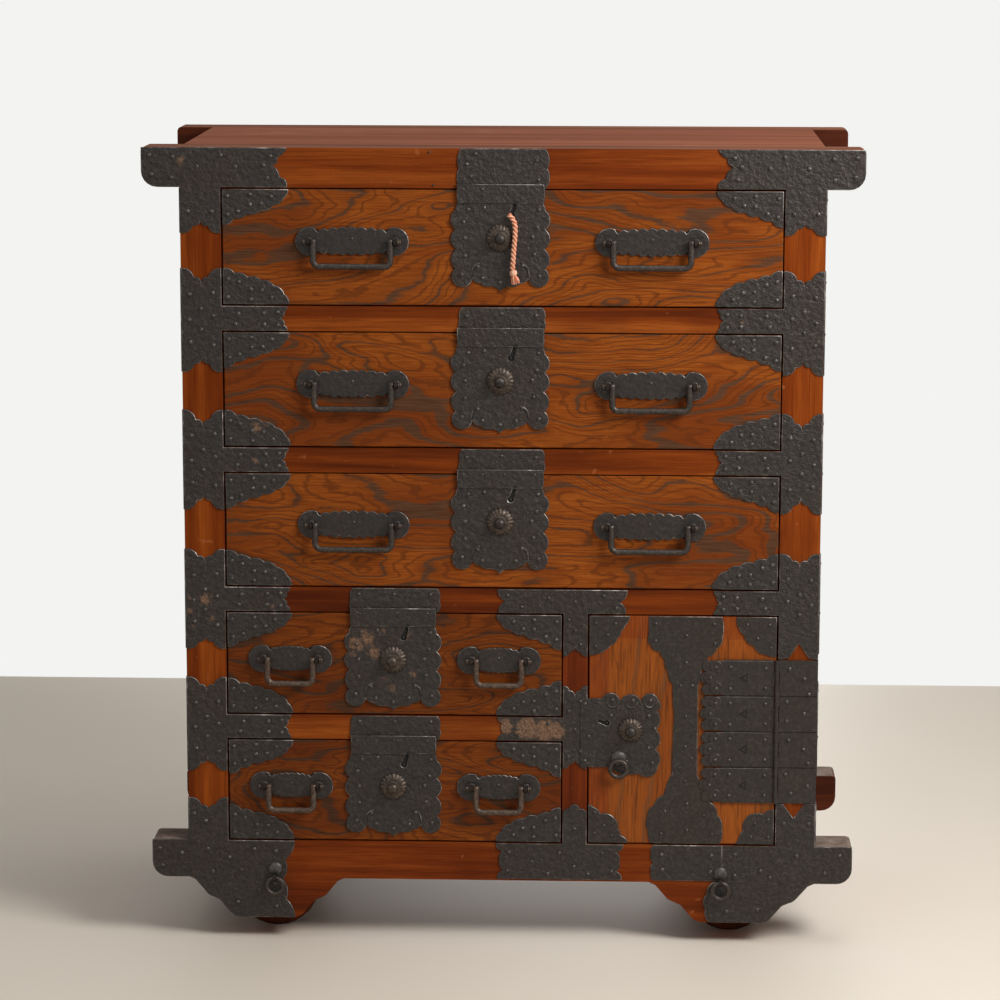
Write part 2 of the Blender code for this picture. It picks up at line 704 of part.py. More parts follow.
def lock_outline(width, top, tip):
    """A lock plate about its knob: lobed sides, round lower corners and a pointed lower edge."""
    half = width / 2
    height = top + tip

    def at(across_share, down_share):
        return (half * across_share, top - height * down_share)

    side = [at(LOCK_SHOULDER_SHARE, 0), at(LOCK_SHOULDER_SHARE, LOCK_LOBES_TOP_SHARE)]
    for lobe in range(LOCK_LOBES):
        span = LOCK_LOBES_END_SHARE - LOCK_LOBES_TOP_SHARE
        end = LOCK_LOBES_TOP_SHARE + span * (lobe + 1) / LOCK_LOBES
        crest = (end + LOCK_LOBES_TOP_SHARE + span * lobe / LOCK_LOBES) / 2
        control = at(LOCK_SHOULDER_SHARE + 2 * LOCK_LOBE_BULGE_SHARE, crest)
        side += bend(side[-1], control, at(LOCK_SHOULDER_SHARE, end), LOCK_LOBE_STEPS)
    centre = at(LOCK_CORNER_ACROSS_SHARE, LOCK_CORNER_DOWN_SHARE)
    radius = half * LOCK_CORNER_RADIUS_SHARE
    side += arc(centre, radius, LOCK_CORNER_FROM, LOCK_CORNER_TO, LOCK_CORNER_STEPS)
    side += bend(side[-1], at(*LOCK_TIP_CURVE_SHARES), at(0, 1), LOCK_TIP_STEPS)
    return mirrored(side)


def keyhole():
    """The outline of a keyhole: a round end and a slanted slot."""
    centre = Vector((KEYHOLE_ACROSS, KEYHOLE_UP))
    along = Vector((KEYHOLE_SLOT_ACROSS, KEYHOLE_SLOT_UP))
    lean = math.degrees(math.atan2(along.y, along.x))
    opening = math.degrees(math.asin(KEYHOLE_SLOT_WIDTH / 2 / KEYHOLE_RADIUS))
    half = Vector((-along.y, along.x)).normalized() * KEYHOLE_SLOT_WIDTH / 2
    outline = arc(centre, KEYHOLE_RADIUS, lean + opening, lean + 360 - opening, KNOB_STEPS)
    return outline + [tuple(centre + along - half), tuple(centre + along + half)]


def quarter_turn(outline):
    """An outline turned a quarter, so that its top faces left."""
    return [(-up, across) for across, up in outline]


def rosette():
    """The dome round a knob, with the stem's bore through it."""
    base = PLATE_FACE_Y + FUSE_DEPTH
    profile = [(BUTTON_BORE_RADIUS, base), (ROSETTE_RADIUS, base)]
    for radius_share, height_share in ROSETTE_SHARES:
        profile.append((ROSETTE_RADIUS * radius_share, PLATE_FACE_Y - ROSETTE_HEIGHT * height_share))
    profile.append((BUTTON_BORE_RADIUS, ROSETTE_FACE_Y))
    return turned(profile, ROSETTE_STEPS, "Y")


def plate_bore():
    """The cutter for the knob's bore through a lock plate, less deep than the rosette's face."""
    end = PLATE_FACE_Y
    profile = [
        (0, end),
        (BUTTON_BORE_RADIUS, end),
        (BUTTON_BORE_RADIUS, CUT_OVERRUN),
        (0, CUT_OVERRUN),
    ]
    return turned(profile, ROSETTE_STEPS, "Y")


def drawer_lock_plate():
    """A drawer's lock plate with its rosette and the lap strip that covers the gap above."""
    outline = lock_outline(LOCK_PLATE_WIDTH, LOCK_PLATE_TOP, LOCK_PLATE_TIP)
    plate = prism(outline, PLATE_FACE_Y, -SEAT_GAP, "Y")
    lap_back = PLATE_FACE_Y + LAP_SINK
    lap = box(
        (-LAP_WIDTH / 2, lap_back - LAP_THICKNESS, LOCK_DROP - LAP_BELOW),
        (LAP_WIDTH / 2, lap_back, LOCK_DROP + LAP_ABOVE),
    )
    hole = prism(keyhole(), PLATE_FACE_Y - LAP_THICKNESS, CUT_OVERRUN, "Y")
    return fused([plate, rosette(), lap], [plate_bore(), hole])


def door_lock_plate():
    """The door's lock plate, a quarter turned, with its rosette and the eye of the pull ring."""
    outline = quarter_turn(lock_outline(DOOR_LOCK_WIDTH, DOOR_LOCK_BEHIND, DOOR_LOCK_AHEAD))
    plate = prism(outline, PLATE_FACE_Y, -SEAT_GAP, "Y")
    hole = prism(quarter_turn(keyhole()), PLATE_FACE_Y - CUT_OVERRUN, CUT_OVERRUN, "Y")
    ring_eye = eye(-DOOR_RING_ACROSS, -DOOR_RING_DROP, PLATE_FACE_Y, BAIL_PIVOT_Y, RING_ROD_RADIUS)
    return fused([plate, rosette(), *ring_eye], [plate_bore(), hole])


def knob():
    """A push knob with its stem, about its own axis in the plane of the fronts."""
    profile = [(0, KNOB_STEM_DEPTH), (KNOB_STEM_RADIUS, KNOB_STEM_DEPTH), (KNOB_STEM_RADIUS, KNOB_BACK_Y)]
    for radius_share, along_share in KNOB_SHARES:
        profile.append((KNOB_RADIUS * radius_share, KNOB_BACK_Y - KNOB_HEAD_LENGTH * along_share))
    profile.append((0, KNOB_TIP_Y))
    return turned(profile, KNOB_STEPS, "Y")


def ring():
    """A ring hanging from the middle of its eye."""
    profile = arc((RING_RADIUS, 0), RING_ROD_RADIUS, 0, 360, RING_ROD_STEPS)[:-1]
    return moved(turned(profile, RING_STEPS, "Y"), (0, 0, -RING_RADIUS))


def door_panel():
    """The cupboard door. Its panel is thinner than the frame, which shows at the back."""
    left = MIDDLE_POST_RIGHT + FRONT_GAP
    right = OPENING_EDGE - FRONT_GAP
    low = CASE_FLOOR_Z + FRONT_GAP
    high = LOWER_RAIL_Z - FRONT_GAP
    board = chamfered_board((left, 0, low), (right, FRONT_THICKNESS, high))
    recess = box(
        (left + DOOR_FRAME_WIDTH, DOOR_PANEL_THICKNESS, low + DOOR_FRAME_WIDTH),
        (right - DOOR_FRAME_WIDTH, FRONT_THICKNESS + CUT_OVERRUN, high - DOOR_FRAME_WIDTH),
    )
    return fused([board], [recess])


def door_lock_place():
    """The middle of the door's knob across and up the front."""
    return (MIDDLE_POST_RIGHT - DOOR_LOCK_LAP + DOOR_LOCK_BEHIND, CASE_FLOOR_Z + DOOR_LOCK_Z)


def hinge_grooves(left, right):
    """Cutters for the lines between the stacked hinges."""
    cutters = []
    for index in range(1, HINGE_COUNT):
        z = CASE_FLOOR_Z + HINGE_RISE + index * HINGE_HEIGHT
        low = (left - CUT_OVERRUN, PLATE_FACE_Y - CUT_OVERRUN, z - HINGE_GROOVE_WIDTH / 2)
        high = (right + CUT_OVERRUN, PLATE_FACE_Y + HINGE_GROOVE_DEPTH, z + HINGE_GROOVE_WIDTH / 2)
        cutters.append(box(low, high))
    return together(cutters)


def door_knuckle_spans():
    """The lowest and highest point of each of the door's knuckles."""
    bottom = CASE_FLOOR_Z + HINGE_RISE
    return [
        (
            bottom + HINGE_HEIGHT * (index + DOOR_KNUCKLE_FROM_SHARE),
            bottom + HINGE_HEIGHT * (index + DOOR_KNUCKLE_TO_SHARE),
        )
        for index in range(HINGE_COUNT)
    ]


def door_hinge_straps():
    """The straps on the door, side by side in one plate, each with a lobed end and a knuckle."""
    edge = HINGE_X - KNUCKLE_RADIUS - KNUCKLE_GAP
    bottom = CASE_FLOOR_Z + HINGE_RISE
    root = edge - HINGE_STRAP_LENGTH + HINGE_STRAP_LOBE
    outline = [(edge, bottom + HINGE_COUNT * HINGE_HEIGHT), (edge, bottom), (root, bottom)]
    for index in range(HINGE_COUNT):
        end = (root, bottom + (index + 1) * HINGE_HEIGHT)
        crest = (root - 2 * HINGE_STRAP_LOBE, bottom + HINGE_HEIGHT * (index + 1 / 2))
        outline += bend(outline[-1], crest, end, HINGE_LOBE_STEPS)
    plate = prism(outline, PLATE_FACE_Y, -SEAT_GAP, "Y")
    bore = HINGE_PIN_RADIUS + HINGE_PLAY
    webs = []
    knuckles = []
    for low, high in door_knuckle_spans():
        web_end = HINGE_X - bore - KNUCKLE_WALL / 2
        webs.append(box((edge - FUSE_DEPTH, PLATE_FACE_Y, low), (web_end, -SEAT_GAP, high)))
        profile = [(bore, low), (KNUCKLE_RADIUS, low), (KNUCKLE_RADIUS, high), (bore, high)]
        knuckles.append(moved(turned(profile, KNUCKLE_STEPS, "Z"), (HINGE_X, HINGE_Y, 0)))
    grooves = hinge_grooves(root - HINGE_STRAP_LOBE, edge)
    return fused([plate, together(webs), together(knuckles)], [grooves])


def hinge_fixed_plate():
    """The leaves on the right post, side by side, with their knuckles and the pin through them all."""
    edge = HINGE_X + KNUCKLE_RADIUS + KNUCKLE_GAP
    bottom = CASE_FLOOR_Z + HINGE_RISE
    top = bottom + HINGE_COUNT * HINGE_HEIGHT
    plate = box((edge, PLATE_FACE_Y, bottom), (CASE_EDGE, -SEAT_GAP, top))
    spans = door_knuckle_spans()
    lows = [bottom] + [high + HINGE_PLAY for low, high in spans]
    highs = [low - HINGE_PLAY for low, high in spans] + [top]
    webs = []
    knuckles = []
    for low, high in zip(lows, highs):
        webs.append(box((HINGE_X, PLATE_FACE_Y, low), (edge + FUSE_DEPTH, -SEAT_GAP, high)))
        profile = [(0, low), (KNUCKLE_RADIUS, low), (KNUCKLE_RADIUS, high), (0, high)]
        knuckles.append(moved(turned(profile, KNUCKLE_STEPS, "Z"), (HINGE_X, HINGE_Y, 0)))
    pin_low = bottom + FUSE_DEPTH
    pin_high = top - FUSE_DEPTH
    profile = [(0, pin_low), (HINGE_PIN_RADIUS, pin_low), (HINGE_PIN_RADIUS, pin_high), (0, pin_high)]
    pin = moved(turned(profile, KNUCKLE_STEPS, "Z"), (HINGE_X, HINGE_Y, 0))
    grooves = hinge_grooves(edge, CASE_EDGE)
    return fused([fused([plate], [grooves]), together(webs), together(knuckles), pin])


def smooth_route(points, samples):
    """Points on the smooth curve through a route's own points."""
    ends = [points[0]] + list(points) + [points[-1]]
    route = []
    for before, start, end, after in zip(ends, ends[1:], ends[2:], ends[3:]):
        for step in range(samples):
            t = step / samples
            route.append(
                tuple(
                    b + t * (c - a) / 2 + t**2 * (a - 5 * b / 2 + 2 * c - d / 2)
                    + t**3 * (3 * (b - c) + d - a) / 2
                    for a, b, c, d in zip(before, start, end, after)
                )
            )
    return route + [points[-1]]


def tassel():
    """The knot at the cord's end and the tuft below it, about the cord's end."""
    knot_top = -SEAT_GAP
    knot_low = knot_top - KNOT_LENGTH
    tuft_low = knot_low - TASSEL_LENGTH
    profile = [
        (0, knot_top),
        (KNOT_RADIUS * KNOT_SHOULDER_SHARES[0], knot_top - KNOT_LENGTH * KNOT_SHOULDER_SHARES[1]),
        (KNOT_RADIUS, (knot_top + knot_low) / 2),
        (KNOT_RADIUS * TASSEL_WAIST_SHARE, knot_low),
        (TASSEL_RADIUS, (knot_low + tuft_low) / 2),
        (TASSEL_RADIUS, tuft_low),
        (0, tuft_low),
    ]
    return turned(profile, TASSEL_STEPS, "Z")


def material(name, colour, roughness, metallic=0.0):
    """A plain finish."""
    finish = bpy.data.materials.new(name)
    finish.use_nodes = True
    shader = finish.node_tree.nodes["Principled BSDF"]
    shader.inputs["Base Color"].default_value = (*colour, 1)
    shader.inputs["Roughness"].default_value = roughness
    shader.inputs["Metallic"].default_value = metallic
    return finish


def add_group(name, place, parent=None):
    """An empty at a place measured in the plane of the fronts, or in the world if it has no parent."""
    group = bpy.data.objects.new(name, None)
    bpy.context.scene.collection.objects.link(group)
    group["place"] = place if parent else (0, 0, 0)
    group.location = Vector(place) - Vector(parent["place"]) if parent else place
    group.parent = parent
    return group


def add_piece(name, data, finish, place, group):
    """An object with shared or own data, at a place measured in the plane of the fronts."""
    piece = bpy.data.objects.new(name, data)
    bpy.context.scene.collection.objects.link(piece)
    if not data.materials:
        data.materials.append(finish)
    piece.parent = group
    piece.location = Vector(place) - Vector(group["place"])
    return piece


def finished_mesh(shape, smooth):
    """Mesh data of a shape, shaded smooth where it is round."""
    mesh = mesh_of(shape)
    if smooth:
        mesh.shade_smooth()
        mesh.set_sharp_from_angle(angle=math.radians(SMOOTH_ANGLE))
    return mesh


def add_board(name, shape, finish, group, smooth=False):
    """A shape modelled in place, with its origin put at its own middle."""
    lows = [min(v.co[i] for v in shape.verts) for i in (0, 1, 2)]
    highs = [max(v.co[i] for v in shape.verts) for i in (0, 1, 2)]
    middle = (Vector(lows) + Vector(highs)) / 2
    return add_piece(name, finished_mesh(moved(shape, -middle), smooth), finish, middle, group)


def drawer_sizes():
    """The five drawers: their openings, locks and bails."""
    wide_floors = (UPPER_RAIL_Z + RAIL_HEIGHT, MIDDLE_RAIL_Z + RAIL_HEIGHT, LOWER_RAIL_Z + RAIL_HEIGHT)
    drawers = []
    for name, floor in zip(("top_drawer", "second_drawer", "third_drawer"), wide_floors):
        drawers.append({"name": name, "floor": floor, "wide": True})
    for name, floor in (
        ("upper_small_drawer", SHORT_RAIL_Z + RAIL_HEIGHT),
        ("lower_small_drawer", CASE_FLOOR_Z),
    ):
        drawers.append({"name": name, "floor": floor, "wide": False})
    for drawer in drawers:
        wide = drawer["wide"]
        drawer["left"] = -OPENING_EDGE
        drawer["right"] = OPENING_EDGE if wide else MIDDLE_POST_LEFT
        drawer["height"] = WIDE_OPENING_HEIGHT if wide else SMALL_OPENING_HEIGHT
        plate_share, bail_share, spread_share = WIDE_HANDLE_SHARES if wide else SMALL_HANDLE_SHARES
        width = drawer["right"] - drawer["left"]
        drawer["plate_length"] = width * plate_share
        drawer["bail_width"] = drawer["plate_length"] * bail_share
        middle = (drawer["left"] + drawer["right"]) / 2
        top = drawer["floor"] + drawer["height"]
        spread = (LOCK_PLATE_WIDTH + (width - LOCK_PLATE_WIDTH) * spread_share) / 2
        handle_z = top - (WIDE_HANDLE_DROP if wide else SMALL_HANDLE_DROP)
        drawer["lock"] = (middle - LOCK_OFFSET, top - LOCK_DROP)
        drawer["bails"] = ((middle - spread, handle_z), (middle + spread, handle_z))
    return drawers


def clear_scene():
    """Removes whatever the scene holds."""
    for thing in list(bpy.data.objects):
        bpy.data.objects.remove(thing)


def build_case(chest, wood, iron):
    """The boards, posts, rails and beams."""
    frame, hidden, top = wood["frame"], wood["hidden"], wood["top"]
    for name, sign in (("left_side", -1), ("right_side", 1)):
        add_board(name, side_board(sign), frame, chest)
    add_board("middle_post", middle_post(), frame, chest)
    board = box((-CASE_EDGE, BEHIND_BEAM_Y, TOP_BOARD_Z), (CASE_EDGE, BEFORE_REAR_BEAM_Y, TOP_Z))
    add_board("top_board", board, top, chest)
    add_board("bottom_board", bottom_board(), hidden, chest)
    board = box((-CASE_EDGE, BACK_BOARD_Y, POST_BOTTOM_Z), (CASE_EDGE, CASE_DEPTH, POST_TOP_Z))
    add_board("back_board", board, hidden, chest)
    for name, bottom in (
        ("upper_rail", UPPER_RAIL_Z),
        ("middle_rail", MIDDLE_RAIL_Z),
        ("lower_rail", LOWER_RAIL_Z),
    ):
        add_board(name, rail(bottom, RAIL_EDGE, BOARD_EDGE, (-1, 1)), frame, chest)
    short_end = MIDDLE_POST_LEFT - SEAT_GAP
    add_board("short_rail", rail(SHORT_RAIL_Z, short_end, short_end, (-1,)), frame, chest)
    add_board("top_front_beam", beam(TOP_BEAM_Z, 0, ()), frame, chest)
    add_board("top_rear_beam", beam(TOP_BEAM_Z, REAR_BEAM_Y, ()), frame, chest)
    ring_z = BASE_BEAM_Z + BASE_RING_RISE
    ring_places = ((-LEFT_BASE_RING_X, ring_z), (RIGHT_BASE_RING_X, ring_z))
    front_seat = BEAM_DEPTH - AXLE_SEAT - SEAT_GAP
    rear_seat = REAR_BEAM_Y - CUT_OVERRUN
    add_board("base_front_beam", base_beam(0, front_seat, ring_places), frame, chest)
    add_board("base_rear_beam", base_beam(REAR_BEAM_Y, rear_seat, ()), frame, chest)
    ring_mesh = finished_mesh(ring(), True)
    for name, (x, z) in zip(("left_base_ring", "right_base_ring"), ring_places):
        add_piece(name, ring_mesh, iron, (x, BAIL_PIVOT_Y, z), chest)
    return ring_mesh


def build_wheels(chest, wood, iron):
    """The wheels and the two axles, which run from front to back."""
    wheel_mesh = finished_mesh(wheel(), True)
    for name, place in wheel_places().items():
        add_piece(name, wheel_mesh, wood["wheel"], place, chest)
    axle_mesh = finished_mesh(axle(), True)
    for name, sign in (("left_axle", -1), ("right_axle", 1)):
        place = (sign * (CASE_EDGE - WHEEL_INSET), CASE_DEPTH / 2, AXLE_Z)
        add_piece(name, axle_mesh, wood["wheel"], place, chest)


def build_drawers(chest, wood, iron, bronze, knob_mesh):
    """The five drawers with their locks and bails."""
    plate_mesh = finished_mesh(drawer_lock_plate(), True)
    bail_meshes = {}
    for drawer in drawer_sizes():
        name = drawer["name"]
        if drawer["wide"] not in bail_meshes:
            bail_meshes[drawer["wide"]] = finished_mesh(bail(drawer["bail_width"]), True)
        lock = (drawer["lock"][0], 0, drawer["lock"][1])
        group = add_group(f"{name}_group", lock, chest)
        add_board(f"{name}_front", drawer_front(drawer), wood["front"], group)
        add_board(f"{name}_box", drawer_box(drawer), wood["hidden"], group)
        add_piece(f"{name}_lock_plate", plate_mesh, iron, lock, group)
        add_piece(f"{name}_knob", knob_mesh, bronze, lock, group)
        for side, (x, z) in zip(("left", "right"), drawer["bails"]):
            place = (x, BAIL_PIVOT_Y, z)
            add_piece(f"{name}_{side}_bail", bail_meshes[drawer["wide"]], iron, place, group)


def build_door(chest, wood, iron, bronze, knob_mesh, ring_mesh):
    """The cupboard door, which turns about its hinge pin."""
    add_board("door_hinge_plate", hinge_fixed_plate(), iron, chest, True)
    group = add_group("door_group", (HINGE_X, HINGE_Y, CASE_FLOOR_Z), chest)
    x, z = door_lock_place()
    panel = fused([door_panel()], [button_bore(x, z)])
    add_board("door", panel, wood["door"], group)
    add_board("door_hinge_straps", door_hinge_straps(), iron, group, True)
    add_piece("door_lock_plate", finished_mesh(door_lock_plate(), True), iron, (x, 0, z), group)
    add_piece("door_knob", knob_mesh, bronze, (x, 0, z), group)
    ring_place = (x - DOOR_RING_ACROSS, BAIL_PIVOT_Y, z - DOOR_RING_DROP)
    add_piece("door_ring", ring_mesh, iron, ring_place, group)


def build_cord(chest, string):
    """The doubled key cord out of the top drawer's keyhole, and its tassel."""
    lock = Vector((-LOCK_OFFSET, 0, TOP_BEAM_Z - LOCK_DROP))
    route = smooth_route(CORD_ROUTE, CORD_SAMPLES_PER_SPAN)
    start = Vector(CORD_ROUTE[0])
    points = [tuple(Vector(point) - start) for point in route]
    cord = tube_curve(points, CORD_RADIUS, CORD_RESOLUTION)
    add_piece("key_cord", cord, string, lock + start, chest)
    end = lock + Vector(CORD_ROUTE[-1])
    piece = add_piece("key_tassel", finished_mesh(tassel(), True), string, end, chest)
    piece.rotation_euler = (0, -math.radians(TASSEL_LEAN), 0)


def main():
    clear_scene()
    wood = {
        "front": material("zelkova_front", (0.305, 0.065, 0.007), 0.42),
        "door": material("zelkova_door", (0.377, 0.102, 0.013), 0.42),
        "frame": material("lacquered_frame", (0.205, 0.026, 0.004), 0.40),
        "top": material("top_wood", (0.205, 0.065, 0.042), 0.60),
        "hidden": material("plain_wood", (0.305, 0.156, 0.071), 0.70),
        "wheel": material("wheel_wood", (0.061, 0.026, 0.013), 0.65),
    }
    iron = material("forged_iron", (0.045, 0.042, 0.042), 0.50, 0.8)
    bronze = material("dark_bronze", (0.156, 0.122, 0.091), 0.45, 0.8)
    string = material("key_string", (0.831, 0.515, 0.376), 0.90)
    chest = add_group("chest_group", (0, FRONT_Y, 0))
    ring_mesh = build_case(chest, wood, iron)
    build_wheels(chest, wood, iron)
    knob_mesh = finished_mesh(knob(), True)
    build_drawers(chest, wood, iron, bronze, knob_mesh)
    build_door(chest, wood, iron, bronze, knob_mesh, ring_mesh)
    build_cord(chest, string)


main()
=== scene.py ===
"""The look of a wheeled chest of drawers of wood and forged iron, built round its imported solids.

Places are in millimetres: x from the middle of the front, y back from the plane of the drawer fronts
and z up from the floor. Materials and the cord work in metres.
"""

from math import atan, cos, hypot, pi, radians, sin, sqrt
from typing import NamedTuple

import bmesh
import bpy
from mathutils import Matrix, Vector

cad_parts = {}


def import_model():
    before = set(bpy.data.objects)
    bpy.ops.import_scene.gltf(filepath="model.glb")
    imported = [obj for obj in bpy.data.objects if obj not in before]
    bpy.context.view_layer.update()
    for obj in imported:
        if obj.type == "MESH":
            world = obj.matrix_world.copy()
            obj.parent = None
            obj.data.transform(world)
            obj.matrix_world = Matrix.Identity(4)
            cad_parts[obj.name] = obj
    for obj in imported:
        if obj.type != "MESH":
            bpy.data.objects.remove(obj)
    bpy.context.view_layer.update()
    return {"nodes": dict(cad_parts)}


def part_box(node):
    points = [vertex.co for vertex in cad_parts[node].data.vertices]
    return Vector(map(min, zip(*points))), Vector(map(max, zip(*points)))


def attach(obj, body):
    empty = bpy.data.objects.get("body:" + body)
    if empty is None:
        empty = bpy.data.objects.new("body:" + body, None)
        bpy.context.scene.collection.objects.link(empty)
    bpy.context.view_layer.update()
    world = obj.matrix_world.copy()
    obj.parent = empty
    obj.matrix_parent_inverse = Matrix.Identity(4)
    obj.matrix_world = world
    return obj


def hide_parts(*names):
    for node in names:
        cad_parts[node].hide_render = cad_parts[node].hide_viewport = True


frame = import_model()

MM = 0.001
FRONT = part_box("left_side")[0].y
SIDE = 402.0

# Limits in metres, by which a material tells the parts of a solid apart
IRON_FACE = FRONT - 0.0002
BEAM_TOP = 1.0194
LUG_END = 0.4493
PANEL_LEFT = 0.137
PANEL_TOP = 0.400

# How far irons stand proud of the plane that they lie on
PROUD = 1.6
SIDE_PROUD = 1.2
HANDLE_PROUD = 2.5
LOCK_PROUD = 2.25
LAP_PROUD = 4.2
HINGE_PROUD = 2.7
LEAF_PROUD = 2.3
LOBE_PROUD = 3.2
SHADE_PROUD = 0.35
LINE_PROUD = 2.2

# How far in front of the drawers the bails and rings turn
PIVOT_Y = -9.5

# A plane that flat pieces lie on is a matrix from (across, up, out) in millimetres to the world in metres
FRONT_PLANE = Matrix(((MM, 0, 0, 0), (0, 0, -MM, FRONT), (0, MM, 0, 0), (0, 0, 0, 1)))


class Drawer(NamedTuple):
    """The edges of a drawer's front, the middle of its lock, and how far out its bails are."""

    right: float
    low: float
    high: float
    lock_x: float
    lock_z: float
    bail_reach: float
    left: float = -349.2

    def wide(self):
        return self.right > 300

    def handles(self):
        """The middle of each handle, by its side."""
        middle = self.lock_x + 2
        z = self.lock_z - 5 if self.wide() else self.lock_z
        return {"left": (middle - self.bail_reach, z), "right": (middle + self.bail_reach, z)}


DRAWERS = {
    "top_drawer": Drawer(349.2, 823.8, 968.2, -2.0, 908.5, 187.0),
    "second_drawer": Drawer(349.2, 644.3, 788.7, -2.0, 729.0, 187.0),
    "third_drawer": Drawer(349.2, 464.8, 609.2, -2.0, 549.5, 187.0),
    "upper_small_drawer": Drawer(76.7, 298.3, 429.7, -138.0, 370.0, 133.0),
    "lower_small_drawer": Drawer(76.7, 131.8, 263.2, -138.0, 203.5, 133.0),
}


def linear(colour):
    """The colour that a shader takes, for a display colour from 0 to 255."""
    shares = [value / 255 for value in colour]
    return (*(s / 12.92 if s <= 0.04045 else ((s + 0.055) / 1.055) ** 2.4 for s in shares), 1)


def world(x, y, z):
    """A place in millimetres, as the world's metres."""
    return Vector((x * MM, FRONT + y * MM, z * MM))


def link(made):
    """Puts an object in the scene."""
    bpy.context.scene.collection.objects.link(made)
    return made


def set_camera():
    """The camera of the photograph."""
    data = bpy.data.cameras.new("camera")
    data.lens = 122.34
    data.sensor_width = 36
    data.sensor_fit = "HORIZONTAL"
    data.clip_end = 60
    yaw, pitch, roll = (radians(angle) for angle in (-2.089, 10.238, -0.091))
    forward = Vector((sin(yaw) * cos(pitch), cos(yaw) * cos(pitch), -sin(pitch)))
    right = Vector((cos(yaw), -sin(yaw), 0))
    down = forward.cross(right)
    across = right * cos(roll) + down * sin(roll)
    drop = down * cos(roll) - right * sin(roll)
    camera = link(bpy.data.objects.new("camera", data))
    rows = zip(across, -drop, -forward, world(151.8, -4215.7, 1339.3))
    camera.matrix_world = Matrix((*rows, (0, 0, 0, 1)))
    bpy.context.scene.camera = camera


class Wire:
    """An output of a shader node, with arithmetic that adds nodes to it. The bar takes the larger value."""

    def __init__(self, make, socket):
        self.make = make
        self.socket = socket

    def math(self, operation, other=0.0):
        return self.make.add("Math", {0: self, 1: other, 2: 0.0}, operation=operation)

    def __add__(self, other):
        return self.math("ADD", other)

    def __sub__(self, other):
        return self.math("SUBTRACT", other)

    def __mul__(self, other):
        return self.math("MULTIPLY", other)

    def __or__(self, other):
        return self.math("MAXIMUM", other)

    def __gt__(self, other):
        return self.math("GREATER_THAN", other)

    def __lt__(self, other):
        return self.math("LESS_THAN", other)

    def __abs__(self):
        return self.math("ABSOLUTE")

    def band(self, low, high, start=0.0, end=1.0):
        """A smooth step from start where the value is low to end where it is high."""
        inputs = enumerate((self, low, high, start, end))
        return self.make.add("MapRange", inputs, interpolation_type="SMOOTHSTEP")

    def ramp(self, positions, colours):
        """A colour for each value, by way of the given display colours."""
        wire = self.make.add("ValToRGB", {0: self})
        elements = wire.socket.node.color_ramp.elements
        while len(elements) < len(positions):
            elements.new(1.0)
        for element, position, colour in zip(elements, positions, colours):
            element.position = position
            element.color = linear(colour)
        return wire


class Nodes:
    """A shader's nodes, with short calls to add to them."""

    def __init__(self, owner):
        owner.use_nodes = True
        self.owner = owner
        self.tree = owner.node_tree

    def put(self, socket, value):
        if isinstance(value, Wire):
            self.tree.links.new(value.socket, socket)
        elif socket.type == "RGBA" and len(value) == 3:
            socket.default_value = linear(value)
        else:
            socket.default_value = value

    def add(self, kind, inputs=(), output=0, **settings):
        """Adds a shader node of a kind, and returns the wire from one of its outputs."""
        node = self.tree.nodes.new("ShaderNode" + kind)
        for name, value in settings.items():
            setattr(node, name, value)
        for socket, value in dict(inputs).items():
            self.put(node.inputs[socket], value)
        return Wire(self, node.outputs[output])

    def outputs(self, kind, inputs, names):
        """Adds a node, and returns the wires from several of its outputs."""
        node = self.add(kind, inputs).socket.node
        return [Wire(self, node.outputs[name]) for name in names]


